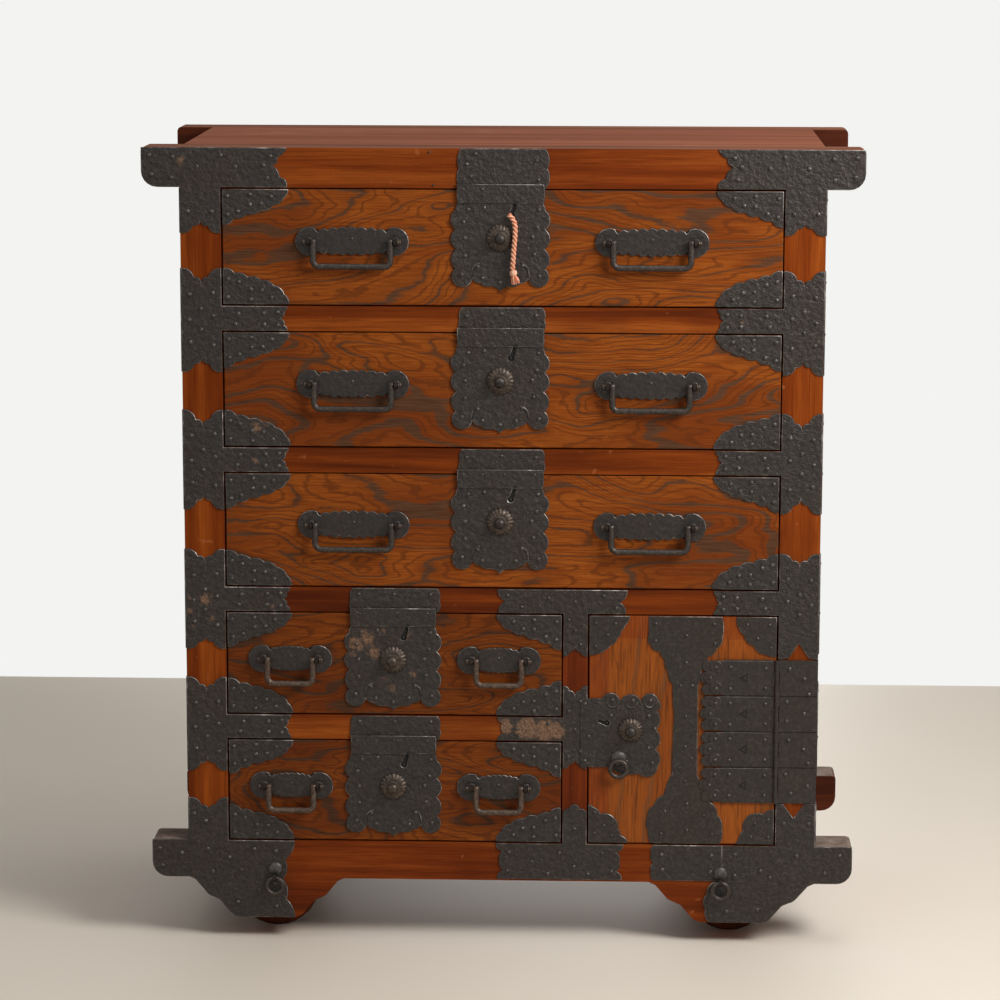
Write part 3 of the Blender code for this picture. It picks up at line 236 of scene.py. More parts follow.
class Finish(Nodes):
    """A procedural material, with short calls to add to its nodes."""

    def __init__(self, name, shift=(0, 0, 0)):
        super().__init__(bpy.data.materials.new(name))
        place = self.add("TexCoord", output="Object")
        self.place = self.add("VectorMath", {0: place, 1: shift}, operation="ADD")
        self.x, self.y, self.z = self.outputs("SeparateXYZ", {0: place}, "XYZ")

    def turn_ends(self):
        """Lets the grain run across on the faces that look to the front or the back."""
        normal = self.add("TexCoord", output="Normal")
        facing = abs(self.add("SeparateXYZ", {0: normal}, "Y")) > 0.7
        change = facing * (self.y - self.x)
        self.place = self.add("CombineXYZ", {0: self.x + change, 1: self.y - change, 2: self.z})

    def scaled(self, factors):
        """The place times a factor for each axis, or one for all."""
        each = factors if isinstance(factors, tuple) else (factors,) * 3
        return self.add("VectorMath", {0: self.place, 1: each}, operation="MULTIPLY")

    def noise(self, factors, detail=3.0, roughness=0.5, distortion=0.0):
        inputs = {
            "Vector": self.scaled(factors),
            "Scale": 1.0,
            "Detail": detail,
            "Roughness": roughness,
            "Distortion": distortion,
        }
        return self.add("TexNoise", inputs)

    def fibres(self, along, fine):
        """Fine fibres that run along one axis."""
        return self.noise(stretched(along, fine * 0.028, fine), 4, 0.62)

    def mix(self, share, first, second, blend="MIX"):
        inputs = {0: share, 6: first, 7: second}
        return self.add("Mix", inputs, 2, data_type="RGBA", blend_type=blend)

    def spots(self, places, y, fade=5, spread=15.5):
        """1 in the worn spots, given as (x, z, radius) in millimetres, and 0 elsewhere, with ragged edges."""
        ragged = self.noise(210, 5, 0.75) * 0.032
        total = None
        for x, z, radius in places:
            inputs = {0: self.place, 1: world(x, y, z)}
            gap = self.add("VectorMath", inputs, "Value", operation="DISTANCE")
            edge = (radius + spread) * MM
            spot = (gap + ragged).band(edge - fade * MM, edge, 1.0, 0.0)
            total = total | spot if total else spot
        return total

    def done(self, colour, roughness, height, strength, depth, gloss=0.5, metallic=0.0):
        """Sets the shader, with a bump from a height. Returns the material."""
        bump = self.add("Bump", {"Height": height, "Strength": strength, "Distance": depth})
        shader = self.tree.nodes["Principled BSDF"]
        self.put(shader.inputs["Base Color"], colour)
        self.put(shader.inputs["Roughness"], roughness)
        self.put(shader.inputs["Normal"], bump)
        self.put(shader.inputs["Specular IOR Level"], gloss)
        self.put(shader.inputs["Metallic"], metallic)
        return self.owner


def stretched(along, factor, others):
    """A factor for one axis, and another for the others."""
    return tuple(factor if axis == along else others for axis in "xyz")


def iron_look(make, warmth=0.5, worn=(), worn_y=0.0):
    """Colour, roughness and height of forged iron, with brown warmth and rusted spots."""
    mottle = make.noise(240, 5, 0.68)
    dark = mottle.ramp((0.30, 0.52, 0.74), ((32, 27, 25), (45, 39, 36), (68, 60, 56)))
    brown = mottle.ramp((0.30, 0.52, 0.74), ((34, 26, 22), (46, 37, 32), (70, 59, 52)))
    share = make.noise(14, 3, 0.55).band(0.62 - warmth * 0.3, 0.86 - warmth * 0.3)
    colour = make.mix(share, dark, brown)
    roughness = mottle.band(0.3, 0.7, 0.54, 0.36)
    if worn:
        spots = make.spots(worn, worn_y)
        rust = make.noise(420, 4, 0.7).ramp((0.36, 0.62), ((80, 57, 45), (148, 116, 92)))
        colour = make.mix(spots, colour, rust)
        roughness = roughness | spots * 0.85
    cells = {"Vector": make.scaled(175), "Scale": 1.0}
    hammered = make.add("TexVoronoi", cells, feature="SMOOTH_F1") * 0.75
    stipple = make.noise(480, 3, 0.6) * 0.65
    engraved = abs(make.noise(62, 2, 0.5, 0.8) - 0.5).band(0.0, 0.03, -0.14, 0.0)
    return colour, roughness, hammered + stipple + engraved


def iron_finish(name, warmth, depth, worn=(), worn_y=0.0):
    """Forged iron, hammered to a depth in metres."""
    make = Finish(name)
    return make.done(*iron_look(make, warmth, worn, worn_y), 1.0, depth, metallic=0.3)


def rim_finish():
    """The edges of the iron plates, lighter than the plates: partly rubbed bright by wear, partly a painted
    highlight.
    """
    make = Finish("iron_rim_wear_and_painted_highlight")
    rubbed = make.noise(70, 4, 0.7)
    colour = rubbed.ramp((0.34, 0.52, 0.70), ((46, 43, 42), (84, 80, 77), (162, 156, 150)))
    roughness = rubbed.band(0.3, 0.7, 0.55, 0.34)
    return make.done(colour, roughness, make.noise(500, 3, 0.6), 0.5, 0.0006, metallic=0.5)


def zelkova_look(make, along, count, lift):
    """Colour, roughness and height of zelkova whose year lines flow like the contours of a map."""
    level = along == "x"
    field = make.noise((2.5, 1.4, 8.8) if level else (9.5, 1.4, 2.0), 2.4, 0.46, 0.35)
    ripple = make.noise((26, 4, 60) if level else (60, 4, 20), 3, 0.6)
    rings = field * count + (make.z if level else make.x) * lift + ripple * 0.55
    wave = rings.math("PINGPONG", 0.5) * 2.0
    weight = make.noise((5, 2, 13) if level else (13, 2, 4), 2, 0.5)
    ragged = make.noise((90, 6, 320) if level else (320, 6, 90), 3, 0.6)
    near = weight - 0.26 - wave + ragged * 0.28
    line = near.band(0.12, 0.30)
    thin = (rings * 3.0).math("PINGPONG", 0.5).band(0.06, 0.20, 1.0, 0.0)
    fibre = make.fibres(along, 900)
    colour = make.mix(weight.band(0.35, 0.68), (167, 91, 31), (131, 65, 23))
    colour = make.mix(fibre.band(0.35, 0.68, 0.0, 0.8), colour, (120, 50, 9))
    colour = make.mix(thin * 0.62, colour, (96, 48, 20))
    colour = make.mix(near.band(-0.30, 0.20) * 0.34, colour, (104, 50, 17))
    grey = make.mix(fibre.band(0.30, 0.72), (98, 70, 51), (68, 45, 31))
    colour = make.mix(line * 0.86, colour, grey)
    return colour, line.band(0.0, 1.0, 0.34, 0.5), fibre * 0.5 + line * -0.6


def zelkova_front(name, shift, darker):
    """A drawer front: zelkova, with the plates and eyes that stand proud of it in iron."""
    make = Finish(name, shift)
    colour, roughness, height = zelkova_look(make, "x", 15.0, 14.0)
    colour = make.mix(darker, colour, (92, 50, 22), "MULTIPLY")
    iron, iron_roughness, iron_height = iron_look(make)
    metal = make.y < IRON_FACE
    roughness = roughness | iron_roughness * metal
    height = height + iron_height * metal
    return make.done(make.mix(metal, colour, iron), roughness, height, 0.28, 0.0008, 0.10, metal * 0.3)


def door_finish():
    """The door: a panel of straight zelkova, redder along its frame, with the irons' solids in iron."""
    make = Finish("zelkova_door", (0.4, 0, 0.1))
    colour, roughness, height = zelkova_look(make, "z", 5.0, 20.0)
    fibre = make.fibres("z", 700)
    golden = make.mix(fibre.band(0.3, 0.7, 0.30, 0.85), (158, 86, 32), colour)
    dashes = make.noise((430, 8, 17), 2, 0.5).band(0.56, 0.68, 0.0, 0.62)
    golden = make.mix(dashes, golden, (78, 42, 20))
    framed = (make.x < PANEL_LEFT) | (make.z > PANEL_TOP)
    red = make.mix(fibre.band(0.3, 0.7), (150, 66, 22), (104, 42, 14))
    metal = make.y < IRON_FACE
    colour = make.mix(metal, make.mix(framed * 0.6, golden, red), iron_look(make)[0])
    return make.done(colour, roughness | metal * 0.5, height, 0.3, 0.0008, 0.12)


def frame_wood(name, along, shift, tones, metal=False, worn_above=None):
    """Red-brown lacquered wood of the case's frame, with its grain along one axis. Its lugs are worn
    above a height, and its iron is where it stands proud of the front."""
    make = Finish(name, shift)
    streaks = make.noise(stretched(along, 1.3, 34.0), 4, 0.6, 0.4)
    fibre = make.fibres(along, 760)
    colour = streaks.ramp((0.30, 0.50, 0.70), tones)
    colour = make.mix(fibre.band(0.35, 0.75, 0.0, 0.55), colour, tones[0])
    colour = make.mix(make.noise(7, 3, 0.5).band(0.45, 0.75, 0.0, 0.45), colour, tones[0])
    dents = make.noise(55, 2, 0.5).band(0.70, 0.78)
    colour = make.mix(dents * 0.5, colour, (178, 104, 62))
    upper = make.z > BEAM_TOP
    rubbed = make.mix(streaks.band(0.35, 0.65), (88, 50, 34), (128, 80, 58))
    colour = make.mix(upper, colour, rubbed)
    roughness = streaks.band(0.3, 0.7, 0.40, 0.56) | upper * 0.8
    if worn_above:
        worn = (make.z > worn_above) * (abs(make.x) > SIDE * MM)
        dusty = make.noise(60, 4, 0.6).ramp((0.3, 0.7), ((96, 84, 76), (152, 139, 128)))
        colour = make.mix(worn * 0.85, colour, dusty)
        roughness = roughness | worn * 0.75
    if metal:
        held = (make.y < IRON_FACE) | (abs(make.x) > LUG_END)
        colour = make.mix(held, colour, iron_look(make)[0])
        roughness = roughness | held * 0.5
    return make.done(colour, roughness, fibre * 0.7 + dents * -0.5, 0.3, 0.0008, 0.08)


def plain_wood(name, along, tones, planks=0.0):
    """Bare wood, such as the drawers' sides. Planks is the width of each board from side to side."""
    make = Finish(name)
    if along == "y":
        make.turn_ends()
    streaks = make.noise(stretched(along, 1.6, 60.0), 5, 0.6, 0.3)
    fibre = height = make.fibres(along, 900)
    colour = streaks.ramp((0.30, 0.52, 0.72), tones)
    colour = make.mix(fibre.band(0.4, 0.8, 0.0, 0.4), colour, tones[0])
    if planks:
        gap = make.x.math("PINGPONG", planks / 2).band(0.0004, 0.0014, 1.0, 0.0)
        colour = make.mix(gap * 0.85, colour, (38, 24, 16))
        height = fibre - gap * 2.0
    return make.done(colour, fibre.band(0.3, 0.7, 0.62, 0.8), height, 0.35, 0.0008, 0.25)


def top_finish():
    """The matte, worn top."""
    make = Finish("worn_top_wood")
    streaks = make.noise((1.4, 30, 30), 4, 0.6, 0.4)
    fibre = make.fibres("x", 600)
    colour = streaks.ramp((0.30, 0.52, 0.72), ((112, 62, 42), (128, 73, 50), (144, 86, 60)))
    colour = make.mix(fibre.band(0.4, 0.8, 0.0, 0.35), colour, (84, 42, 30))
    colour = make.mix(make.noise(9, 4, 0.7).band(0.55, 0.75, 0.0, 0.35), colour, (158, 104, 80))
    scratch = make.noise((4, 190, 190), 2, 0.5, 1.2).band(0.70, 0.73)
    colour = make.mix(scratch * 0.4, colour, (190, 150, 125))
    return make.done(colour, streaks.band(0.3, 0.7, 0.78, 0.66), fibre - scratch, 0.25, 0.0008, 0.05)


def metal_finish(name, *tones):
    """Brown bronze, and the smoother irons: rods, rivets and knobs."""
    make = Finish(name)
    mottle = make.noise(260, 4, 0.65)
    colour = mottle.ramp((0.30, 0.52, 0.74), tones)
    roughness = mottle.band(0.3, 0.7, 0.52, 0.34)
    return make.done(colour, roughness, make.noise(700, 3, 0.6), 0.4, 0.0005, metallic=0.55)


def shade_finish():
    """Painted shade: the darkness in the keyholes and piercings, and in the dark lines drawn on the irons."""
    make = Finish("keyhole_shade")
    shade_mottle = make.noise(300, 3, 0.6)
    colour = shade_mottle.ramp((0.3, 0.7), ((8, 7, 7), (20, 17, 16)))
    return make.done(colour, 0.9, shade_mottle, 0.2, 0.0005)


def string_finish(name, pale, deep):
    """Twisted cotton string with its fuzz and stains."""
    make = Finish(name)
    fuzz = make.noise(900, 4, 0.7)
    colour = make.mix(fuzz.band(0.35, 0.7), pale, deep)
    colour = make.mix(make.noise(120, 3, 0.5).band(0.5, 0.75, 0.0, 0.4), colour, (176, 110, 78))
    return make.done(colour, 0.85, fuzz, 0.6, 0.0006)


def floor_finish():
    """The plain pale floor."""
    make = Finish("pale_floor")
    colour = make.mix(make.noise(2.5, 3, 0.5), (226, 217, 203), (232, 224, 212))
    return make.done(colour, 0.55, make.noise(40, 3, 0.5), 0.05, 0.001)


def scalloped(points):
    """A closed outline through points (across, up, bulge). Bulge is how far the edge up to that point
    swells outward, as a share of its length."""
    last = points[-1:] + points[:-1]
    area = sum(a[0] * b[1] - b[0] * a[1] for a, b in zip(last, points))
    side = 1 if area > 0 else -1
    outline = []
    for start, end in zip(last, points):
        bulge = end[2] if len(end) > 2 else 0
        run, rise = end[0] - start[0], end[1] - start[1]
        length = hypot(run, rise)
        if abs(bulge) < 0.005 or length < 0.01:
            outline.append((end[0], end[1]))
            continue
        half_angle = 2 * atan(2 * abs(bulge))
        radius = length / (2 * sin(half_angle))
        steps = max(4, min(28, round(radius * 2 * half_angle / 1.6)))
        for step in range(1, steps + 1):
            angle = half_angle * (2 * step / steps - 1)
            along = 0.5 + radius * sin(angle) / length
            lift = radius * (cos(angle) - cos(half_angle)) / length
            lift *= side * (1 if bulge > 0 else -1)
            outline.append((start[0] + along * run + lift * rise, start[1] + along * rise - lift * run))
    return outline


def flipped(points):
    """The same outline on the other side of the middle, in the opposite direction."""
    bulges = [point[2] if len(point) > 2 else 0 for point in points]
    order = range(len(points) - 1, -1, -1)
    return [(-points[i][0], points[i][1], bulges[(i + 1) % len(points)]) for i in order]


def moved(points, x, z):
    return [(x + point[0], z + point[1], *point[2:]) for point in points]


def arc(x, z, radius, degrees):
    """Points on a circle, at each of the angles."""
    angles = [radians(degree) for degree in degrees]
    return [(x + radius * cos(angle), z + radius * sin(angle)) for angle in angles]


def disc(x, z, radius):
    """A round outline."""
    return arc(x, z, radius, range(0, 360, 20))


class Shape:
    """A mesh of plates, domes and rods in several finishes, of which the first is the main one.
    Flat pieces lie on its plane."""

    def __init__(self, *finishes):
        self.finishes = finishes
        self.mesh = bmesh.new()
        self.plane = FRONT_PLANE

    def slot(self, finish):
        return self.finishes.index(finish) if finish else 0

    def face(self, corners, finish, smooth=True):
        face = self.mesh.faces.new(corners)
        face.smooth = smooth
        face.material_index = self.slot(finish)

    def plate(self, outline, proud, holes=(), edge=0.75, depth=2.2, finish=None, edge_finish=None):
        """Adds a flat plate that stands proud of the plane, with a rounded rim."""
        curve = bpy.data.curves.new("outline", "CURVE")
        curve.dimensions = "2D"
        curve.fill_mode = "BOTH"
        curve.extrude = depth / 2 - edge
        curve.bevel_depth = edge
        curve.bevel_resolution = 1
        curve.offset = -edge
        for loop in (outline, *holes):
            spline = curve.splines.new("POLY")
            spline.points.add(len(loop) - 1)
            spline.points.foreach_set("co", [value for x, z in loop for value in (x, z, 0, 1)])
            spline.use_cyclic_u = True
        holder = bpy.data.objects.new("outline", curve)
        mesh = bpy.data.meshes.new_from_object(holder)
        first_face, first_vert = len(self.mesh.faces), len(self.mesh.verts)
        self.mesh.from_mesh(mesh)
        self.mesh.faces.ensure_lookup_table()
        self.mesh.verts.ensure_lookup_table()
        faces = self.mesh.faces[first_face:]
        for face in faces:
            face.normal_update()
            # Sloping faces of the rim take the lighter rim finish, partly a painted highlight, unless another
            # edge finish is given
            sloping = 0.2 < face.normal.z < 0.97
            face.material_index = self.slot(edge_finish or rim) if sloping else self.slot(finish)
        matrix = self.plane @ Matrix.Translation((0, 0, proud - depth / 2))
        bmesh.ops.transform(self.mesh, matrix=matrix, verts=self.mesh.verts[first_vert:])
        if matrix.determinant() < 0:
            bmesh.ops.reverse_faces(self.mesh, faces=faces)
        bpy.data.objects.remove(holder)
        bpy.data.curves.remove(curve)
        bpy.data.meshes.remove(mesh)

    def patch(self, outline, proud, finish, edge=0.02, depth=0.1):
        """Adds a thin flat patch of one finish."""
        self.plate(outline, proud, edge=edge, depth=depth, finish=finish, edge_finish=finish)

    def lathe(self, matrix, profile, sides, finish=None, flutes=0, flute_depth=0.0):
        """Adds a turned shape: profile is (radius, along) pairs, from one end to the other, about the
        matrix's third axis. Flutes cut petals into its rim."""
        rings = []
        for radius, along in profile:
            ring = []
            for side in range(sides if radius else 1):
                angle = 2 * pi * side / sides
                reach = radius
                if flutes:
                    reach -= flute_depth * (radius / profile[0][0]) * (0.5 - 0.5 * cos(flutes * angle))
                place = Vector((reach * cos(angle), reach * sin(angle), along))
                ring.append(self.mesh.verts.new(matrix @ place))
            rings.append(ring)
        turned_over = matrix.determinant() < 0
        for low, high in zip(rings, rings[1:]):
            for side in range(sides):
                around = [(low, side), (low, side + 1), (high, side + 1), (high, side)]
                corners = list(dict.fromkeys(ring[place % len(ring)] for ring, place in around))
                self.face(corners[::-1] if turned_over else corners, finish)

    def dome(self, x, z, proud, radius=2.9, height=2.0, finish=None):
        """Adds a rivet's domed head."""
        profile = [
            (radius, -0.4), (radius, 0.15), (radius * 0.82, height * 0.62), (radius * 0.45, height * 0.93),
            (0, height),
        ]
        self.lathe(self.plane @ Matrix.Translation((x, z, proud)), profile, 12, finish or rivet_iron_with_highlight)

    def domes(self, places, proud, radius=2.9, height=2.0):
        for x, z in places:
            self.dome(x, z, proud, radius, height)

    def tube(self, points, radii, sides=12, finish=None, closed=False):
        """Adds a rod along points, with its own radius at each of them, in metres."""
        count = len(points)
        rings = []
        up = None
        for index, point in enumerate(points):
            before = points[index - 1] if index or closed else point
            after = points[(index + 1) % count] if index < count - 1 or closed else point
            tangent = (after - before).normalized()
            up = up or tangent.orthogonal()
            up = (up - tangent * up.dot(tangent)).normalized()
            side = tangent.cross(up)
            angles = [2 * pi * step / sides for step in range(sides)]
            offsets = [radii[index] * (up * cos(angle) + side * sin(angle)) for angle in angles]
            rings.append([self.mesh.verts.new(point + offset) for offset in offsets])
        pairs = list(zip(rings, rings[1:] + rings[:1]))
        for low, high in pairs if closed else pairs[:-1]:
            for step in range(sides):
                after = (step + 1) % sides
                self.face((low[step], low[after], high[after], high[step]), finish)
        if not closed:
            for end in (rings[0][::-1], rings[-1]):
                self.face(end, finish, False)

    def curl(self, points, radius, finish):
        """Adds a thin raised line on a lock plate."""
        path = [self.plane @ Vector((x, z, LINE_PROUD)) for x, z in points]
        swell = [sin(pi * index / (len(path) - 1)) for index in range(len(path))]
        self.tube(path, [radius * MM * (0.5 + 0.5 * share) for share in swell], 6, finish)

    def rosette(self, x, z, radius):
        """Adds a domed bronze rosette with narrow petals on a lock plate."""
        profile = [
            (radius, -0.3), (radius, 0.7), (radius * 0.95, 1.9), (radius * 0.85, 3.3), (radius * 0.70, 4.6),
            (radius * 0.54, 5.5), (radius * 0.50, 5.3), (radius * 0.46, 5.9), (0, 5.95),
        ]
        self.lathe(self.plane @ Matrix.Translation((x, z, LINE_PROUD)), profile, 144, bronze, 20, 1.2)

    def piece(self, name, body, *replaces, slot="forged_iron"):
        """Makes an object of the shape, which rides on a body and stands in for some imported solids."""
        mesh = bpy.data.meshes.new(name)
        self.mesh.to_mesh(mesh)
        self.mesh.free()
        for finish in self.finishes:
            mesh.materials.append(finish)
        made = link(bpy.data.objects.new(name, mesh))
        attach(made, body)
        if replaces:
            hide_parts(*replaces)
        return made


def catmull(points, samples):
    """A smooth line through points."""
    padded = [points[0] * 2 - points[1]] + points + [points[-1] * 2 - points[-2]]
    line = []
    for a, b, c, d in zip(padded, padded[1:], padded[2:], padded[3:]):
        for step in range(samples):
            t = step / samples
            line.append((b * 2 + (c - a) * t + (a * 2 - b * 5 + c * 4 - d) * t**2
                         + (b * 3 - a - c * 3 + d) * t**3) / 2)
    return line + [points[-1]]


CORD_ROUTE = (
    (0.0105, -0.0058, 0.0295), (0.0142, -0.0070, 0.0260), (0.0175, -0.0080, 0.0200),
    (0.0186, -0.0086, 0.0125), (0.0182, -0.0087, 0.0005), (0.0170, -0.0089, -0.0140),
    (0.0161, -0.0093, -0.0280), (0.0154, -0.0097, -0.0385),
)
STRANDS = 4
STRAND_RADIUS = 0.00128
TWIST_LENGTH = 0.0112
# The tassel's knot as (radius, along), its threads, and how far down they start
KNOT = (
    (0.0, 0.0), (0.0030, 0.0006), (0.0046, 0.0026), (0.0049, 0.0045), (0.0041, 0.0068), (0.0022, 0.0082),
    (0.0, 0.0084),
)
THREADS = 34
THREAD_START = 0.0072
TASSEL_RADIUS = 0.0054
GOLDEN_ANGLE = 2.39996


def build_cord():
    """The key cord: four twisted strands that hang from the top drawer's keyhole, with a knot and tassel."""
    pale = string_finish("pale_string", (244, 204, 178), (226, 160, 126))
    pink = string_finish("pink_string", (226, 138, 100), (196, 104, 72))
    hang = world(-2, 0, 908.5)
    line = catmull([hang + Vector(point) for point in CORD_ROUTE], 24)
    lengths = [0.0]
    for a, b in zip(line, line[1:]):
        lengths.append(lengths[-1] + (b - a).length)
    shape = Shape(pale, pink)
    for strand in range(STRANDS):
        path = []
        for index, (point, along) in enumerate(zip(line, lengths)):
            ahead = (line[min(index + 1, len(line) - 1)] - line[max(index - 1, 0)]).normalized()
            side = ahead.cross(Vector((0, -1, 0))).normalized()
            out = side.cross(ahead)
            angle = 2 * pi * (along / TWIST_LENGTH + strand / STRANDS)
            swell = 0.00185 + 0.00055 * sin(4 * pi * along / TWIST_LENGTH)
            path.append(point + swell * (side * cos(angle) + out * sin(angle)))
        shape.tube(path, [STRAND_RADIUS] * len(path), 8, pink if strand % 2 else pale)
    cord = shape.piece("twisted_key_cord", "top_drawer", "key_cord", slot="key_string")

    lean = Matrix.Translation(line[-1]) @ Matrix.Rotation(radians(-14), 4, "Y")
    lean = lean @ Matrix.Diagonal((1, 1, -1, 1))
    shape = Shape(pale, pink)
    shape.lathe(lean, KNOT, 20)
    for thread in range(THREADS):
        angle = thread * GOLDEN_ANGLE
        reach = TASSEL_RADIUS * sqrt((thread + 0.5) / THREADS)
        length = 0.0112 - 0.0018 * sin(thread * 1.7) ** 2
        out = Vector((cos(angle), sin(angle), 0)) * reach
        falls = ((0.30, 0.0), (0.75, 0.0033), (1.0, length * 0.6), (1.02, length))
        path = [lean @ (out * spread + Vector((0, 0, THREAD_START + fall))) for spread, fall in falls]
        shape.tube(path, [0.0006, 0.0008, 0.0007, 0.0004], 6, pink if thread % 2 else pale)
    tuft = shape.piece("key_cord_tassel", "top_drawer", "key_tassel", slot="key_string")


set_camera()
build_cord()

RED_TONES = ((76, 28, 7), (124, 53, 14), (162, 82, 28))
RAIL_TONES = ((80, 30, 8), (138, 63, 17), (178, 95, 34))
POST_TONES = ((84, 30, 6), (132, 58, 13), (170, 86, 26))
MIDDLE_TONES = ((70, 26, 8), (112, 46, 16), (142, 64, 24))
DARK_TONES = ((46, 20, 12), (84, 38, 20), (112, 56, 32))
KIRI_TONES = ((150, 118, 82), (184, 152, 112), (206, 178, 138))
BACK_TONES = ((96, 66, 42), (136, 98, 64), (160, 122, 84))

FRAME_WORN = (
    (-400, 1003, 7), (-376, 446, 9), (4, 284, 12), (32, 282, 17), (56, 279, 17), (70, 278, 14),
    (-396, 432, 6), (-397, 450, 5), (-394, 414, 4), (-367, 420, 5), (-291, 438, 4), (-310, 626, 5),
    (-392, 940, 4), (300, 806, 4), (-388, 132, 4),
)
DRAWER_WORN = ((-309, 668, 8), (-296, 672, 4))
SMALL_LOCK_WORN = (
    (-184, 391, 11), (-170, 396, 10), (-162, 380, 10), (-176, 405, 7), (-190, 378, 6), (-140, 332, 7),
    (-148, 344, 5), (-112, 352, 6), (-120, 402, 7), (-150, 408, 5),
)
iron = iron_finish("forged_iron", 0.62, 0.0015, FRAME_WORN, -1.2)
drawer_iron = iron_finish("drawer_iron", 0.22, 0.0015, DRAWER_WORN, -1.2)
handle_iron = iron_finish("handle_iron", 0.0, 0.0007)
door_iron = iron_finish("door_iron", 0.5, 0.0007)
lock_iron = iron_finish("lock_iron", 0.5, 0.0015, SMALL_LOCK_WORN, -1.8)
worn_rod = metal_finish("worn_rod", (56, 45, 38), (84, 68, 58), (120, 101, 88))
rod_iron = metal_finish("rod_iron", (42, 36, 33), (62, 54, 49), (92, 83, 77))
# The plates' rounded edges: rubbed iron, and a painted highlight
rim = rim_finish()
# Rivet heads in a lighter, smoother iron than the plates: partly worn smooth, partly a painted highlight
rivet_iron_with_highlight = metal_finish("rivet_iron_with_highlight", (52, 48, 46), (74, 70, 67), (108, 103, 98))
bronze = metal_finish("dark_bronze", (40, 33, 28), (68, 57, 49), (108, 93, 79))
dark_knob = metal_finish("dark_knob", (30, 26, 24), (52, 46, 42), (88, 79, 71))
shade = shade_finish()

# How far across the post irons start and end, and where the beams' lugs end and start to turn
POST_LOW, POST_HIGH = 351.2, 401.8
LUG_TIP, LUG_TURN = 449.7, 429.7


def bracket_slope(width):
    """The stepped underside of a bracket, from the case's side down to its foot, on the right-hand side."""
    points = []
    for step in range(13):
        fall, part = divmod(2 * step / 12, 1)
        drop = (fall + (1 - cos(pi * part)) / 2) / 2
        points.append((POST_HIGH - width * 0.31 * step / 12, 80.3 - drop * 53))
    return points


def window_edge(edge, tip, start, end):
    """The scalloped edge between a post iron and the bare wood beside it, from x start to x end.
    It swells towards the wood: a large lobe by each side and a small one by the middle."""
    middle = (start + end) / 2
    near = (end - start) * 0.18
    crest = edge + (tip - edge) * 0.62
    return [
        (start, edge), (middle - near, crest, 0.20), (middle, tip, 0.24), (middle + near, crest, 0.24),
        (end, edge, 0.20),
    ]


def post_iron(top_edge, top_tip, rail_high, rail_low, low_edge, low_tip, triangle=False):
    """A T-shaped iron over a rail's end and the post, on the right-hand side."""
    points = window_edge(low_edge, low_tip, POST_HIGH, POST_LOW)
    if triangle:
        notch = low_edge + 2
        points = [(POST_HIGH, low_edge), (390, notch), (377, low_tip), (365, notch), (POST_LOW, low_edge)]
    middle = (rail_high + rail_low) / 2
    points += [
        (POST_LOW, rail_low + 0.3), (269, rail_low + 0.3), (272.5, rail_low + 7, 0.22), (277, middle, 0.22),
        (272.5, rail_high - 7, 0.22), (269, rail_high - 0.3, 0.22), (POST_LOW, rail_high - 0.3),
    ]
    return points + window_edge(top_edge, top_tip, POST_LOW, POST_HIGH)


TOP_CORNER = [
    (267.5, 1019.6), (LUG_TIP, 1019.6), (LUG_TIP, 990.0), (LUG_TURN, 970.4, 0.207), (POST_HIGH, 970.4),
    *window_edge(913, 928, POST_HIGH, POST_LOW), (POST_LOW, 970.4), (268, 970.4), (277, 983, 0.26),
    (286, 997, 0.16), (279, 1008, 0.20), (267.5, 1019.6, 0.12),
]
BASE_LUG = [(POST_HIGH, 129.6), (LUG_TIP, 129.6), (LUG_TIP, 100.0), (LUG_TURN, 80.4, 0.207)]
BASE_LEFT = [
    *window_edge(186, 170, POST_LOW, POST_HIGH), *BASE_LUG, *bracket_slope(199), (266, 27.4), (277, 52, 0.10),
    (281, 78, 0.14), (278, 104, 0.14), (265.5, 129.6, 0.10), (POST_LOW, 129.6),
]
BASE_RIGHT = [
    (POST_LOW, 186.5), (360, 186), (374, 167), (388, 186), (POST_HIGH, 186.5), *BASE_LUG, *bracket_slope(212),
    (268, 27.4), (263, 44, 0.16), (264, 64, 0.16), (273, 81, 0.14), (284, 82.5), (284, 129.6),
    (POST_LOW, 129.6),
]
BASE_PLATE = [
    (283.4, 129.6), (283.4, 82.4), (196, 82.4), (193, 94, 0.2), (196, 106, 0.2), (193, 118, 0.2),
    (196, 129.6, 0.2),
]
BASE_MIDDLE = [
    (-7, 129.6), (2, 119, 0.2), (-2, 106, 0.2), (3, 94, 0.2), (-5, 82.3, 0.2), (155, 82.3), (148, 94, 0.2),
    (152, 106, 0.2), (148, 119, 0.2), (157, 129.6, 0.2), (109.6, 129.6), (109.6, 172), (101, 176, 0.2),
    (94, 182, 0.2), (87, 176, 0.2), (79, 172, 0.2), (79, 129.6),
]
LOWER_MIDDLE = [
    (-5, 462.6), (5, 447, 0.16), (-4, 431.9, 0.16), (79, 431.9), (79, 376), (87, 382, 0.2), (94, 388, 0.2),
    (101, 382, 0.2), (109.6, 376, 0.2), (109.6, 431.9), (158, 431.9), (150, 447, 0.16), (160, 462.6, 0.16),
]
CROSS = [
    (79, 338), (87, 332, 0.2), (94, 326, 0.2), (101, 332, 0.2), (109.6, 338, 0.2), (109.6, 229),
    (101, 235, 0.2), (94, 241, 0.2), (87, 235, 0.2), (79, 229, 0.2), (79, 265.5), (-5, 265.5), (3, 274, 0.2),
    (1, 288, 0.2), (-5, 296.2, 0.2), (79, 296.2),
]
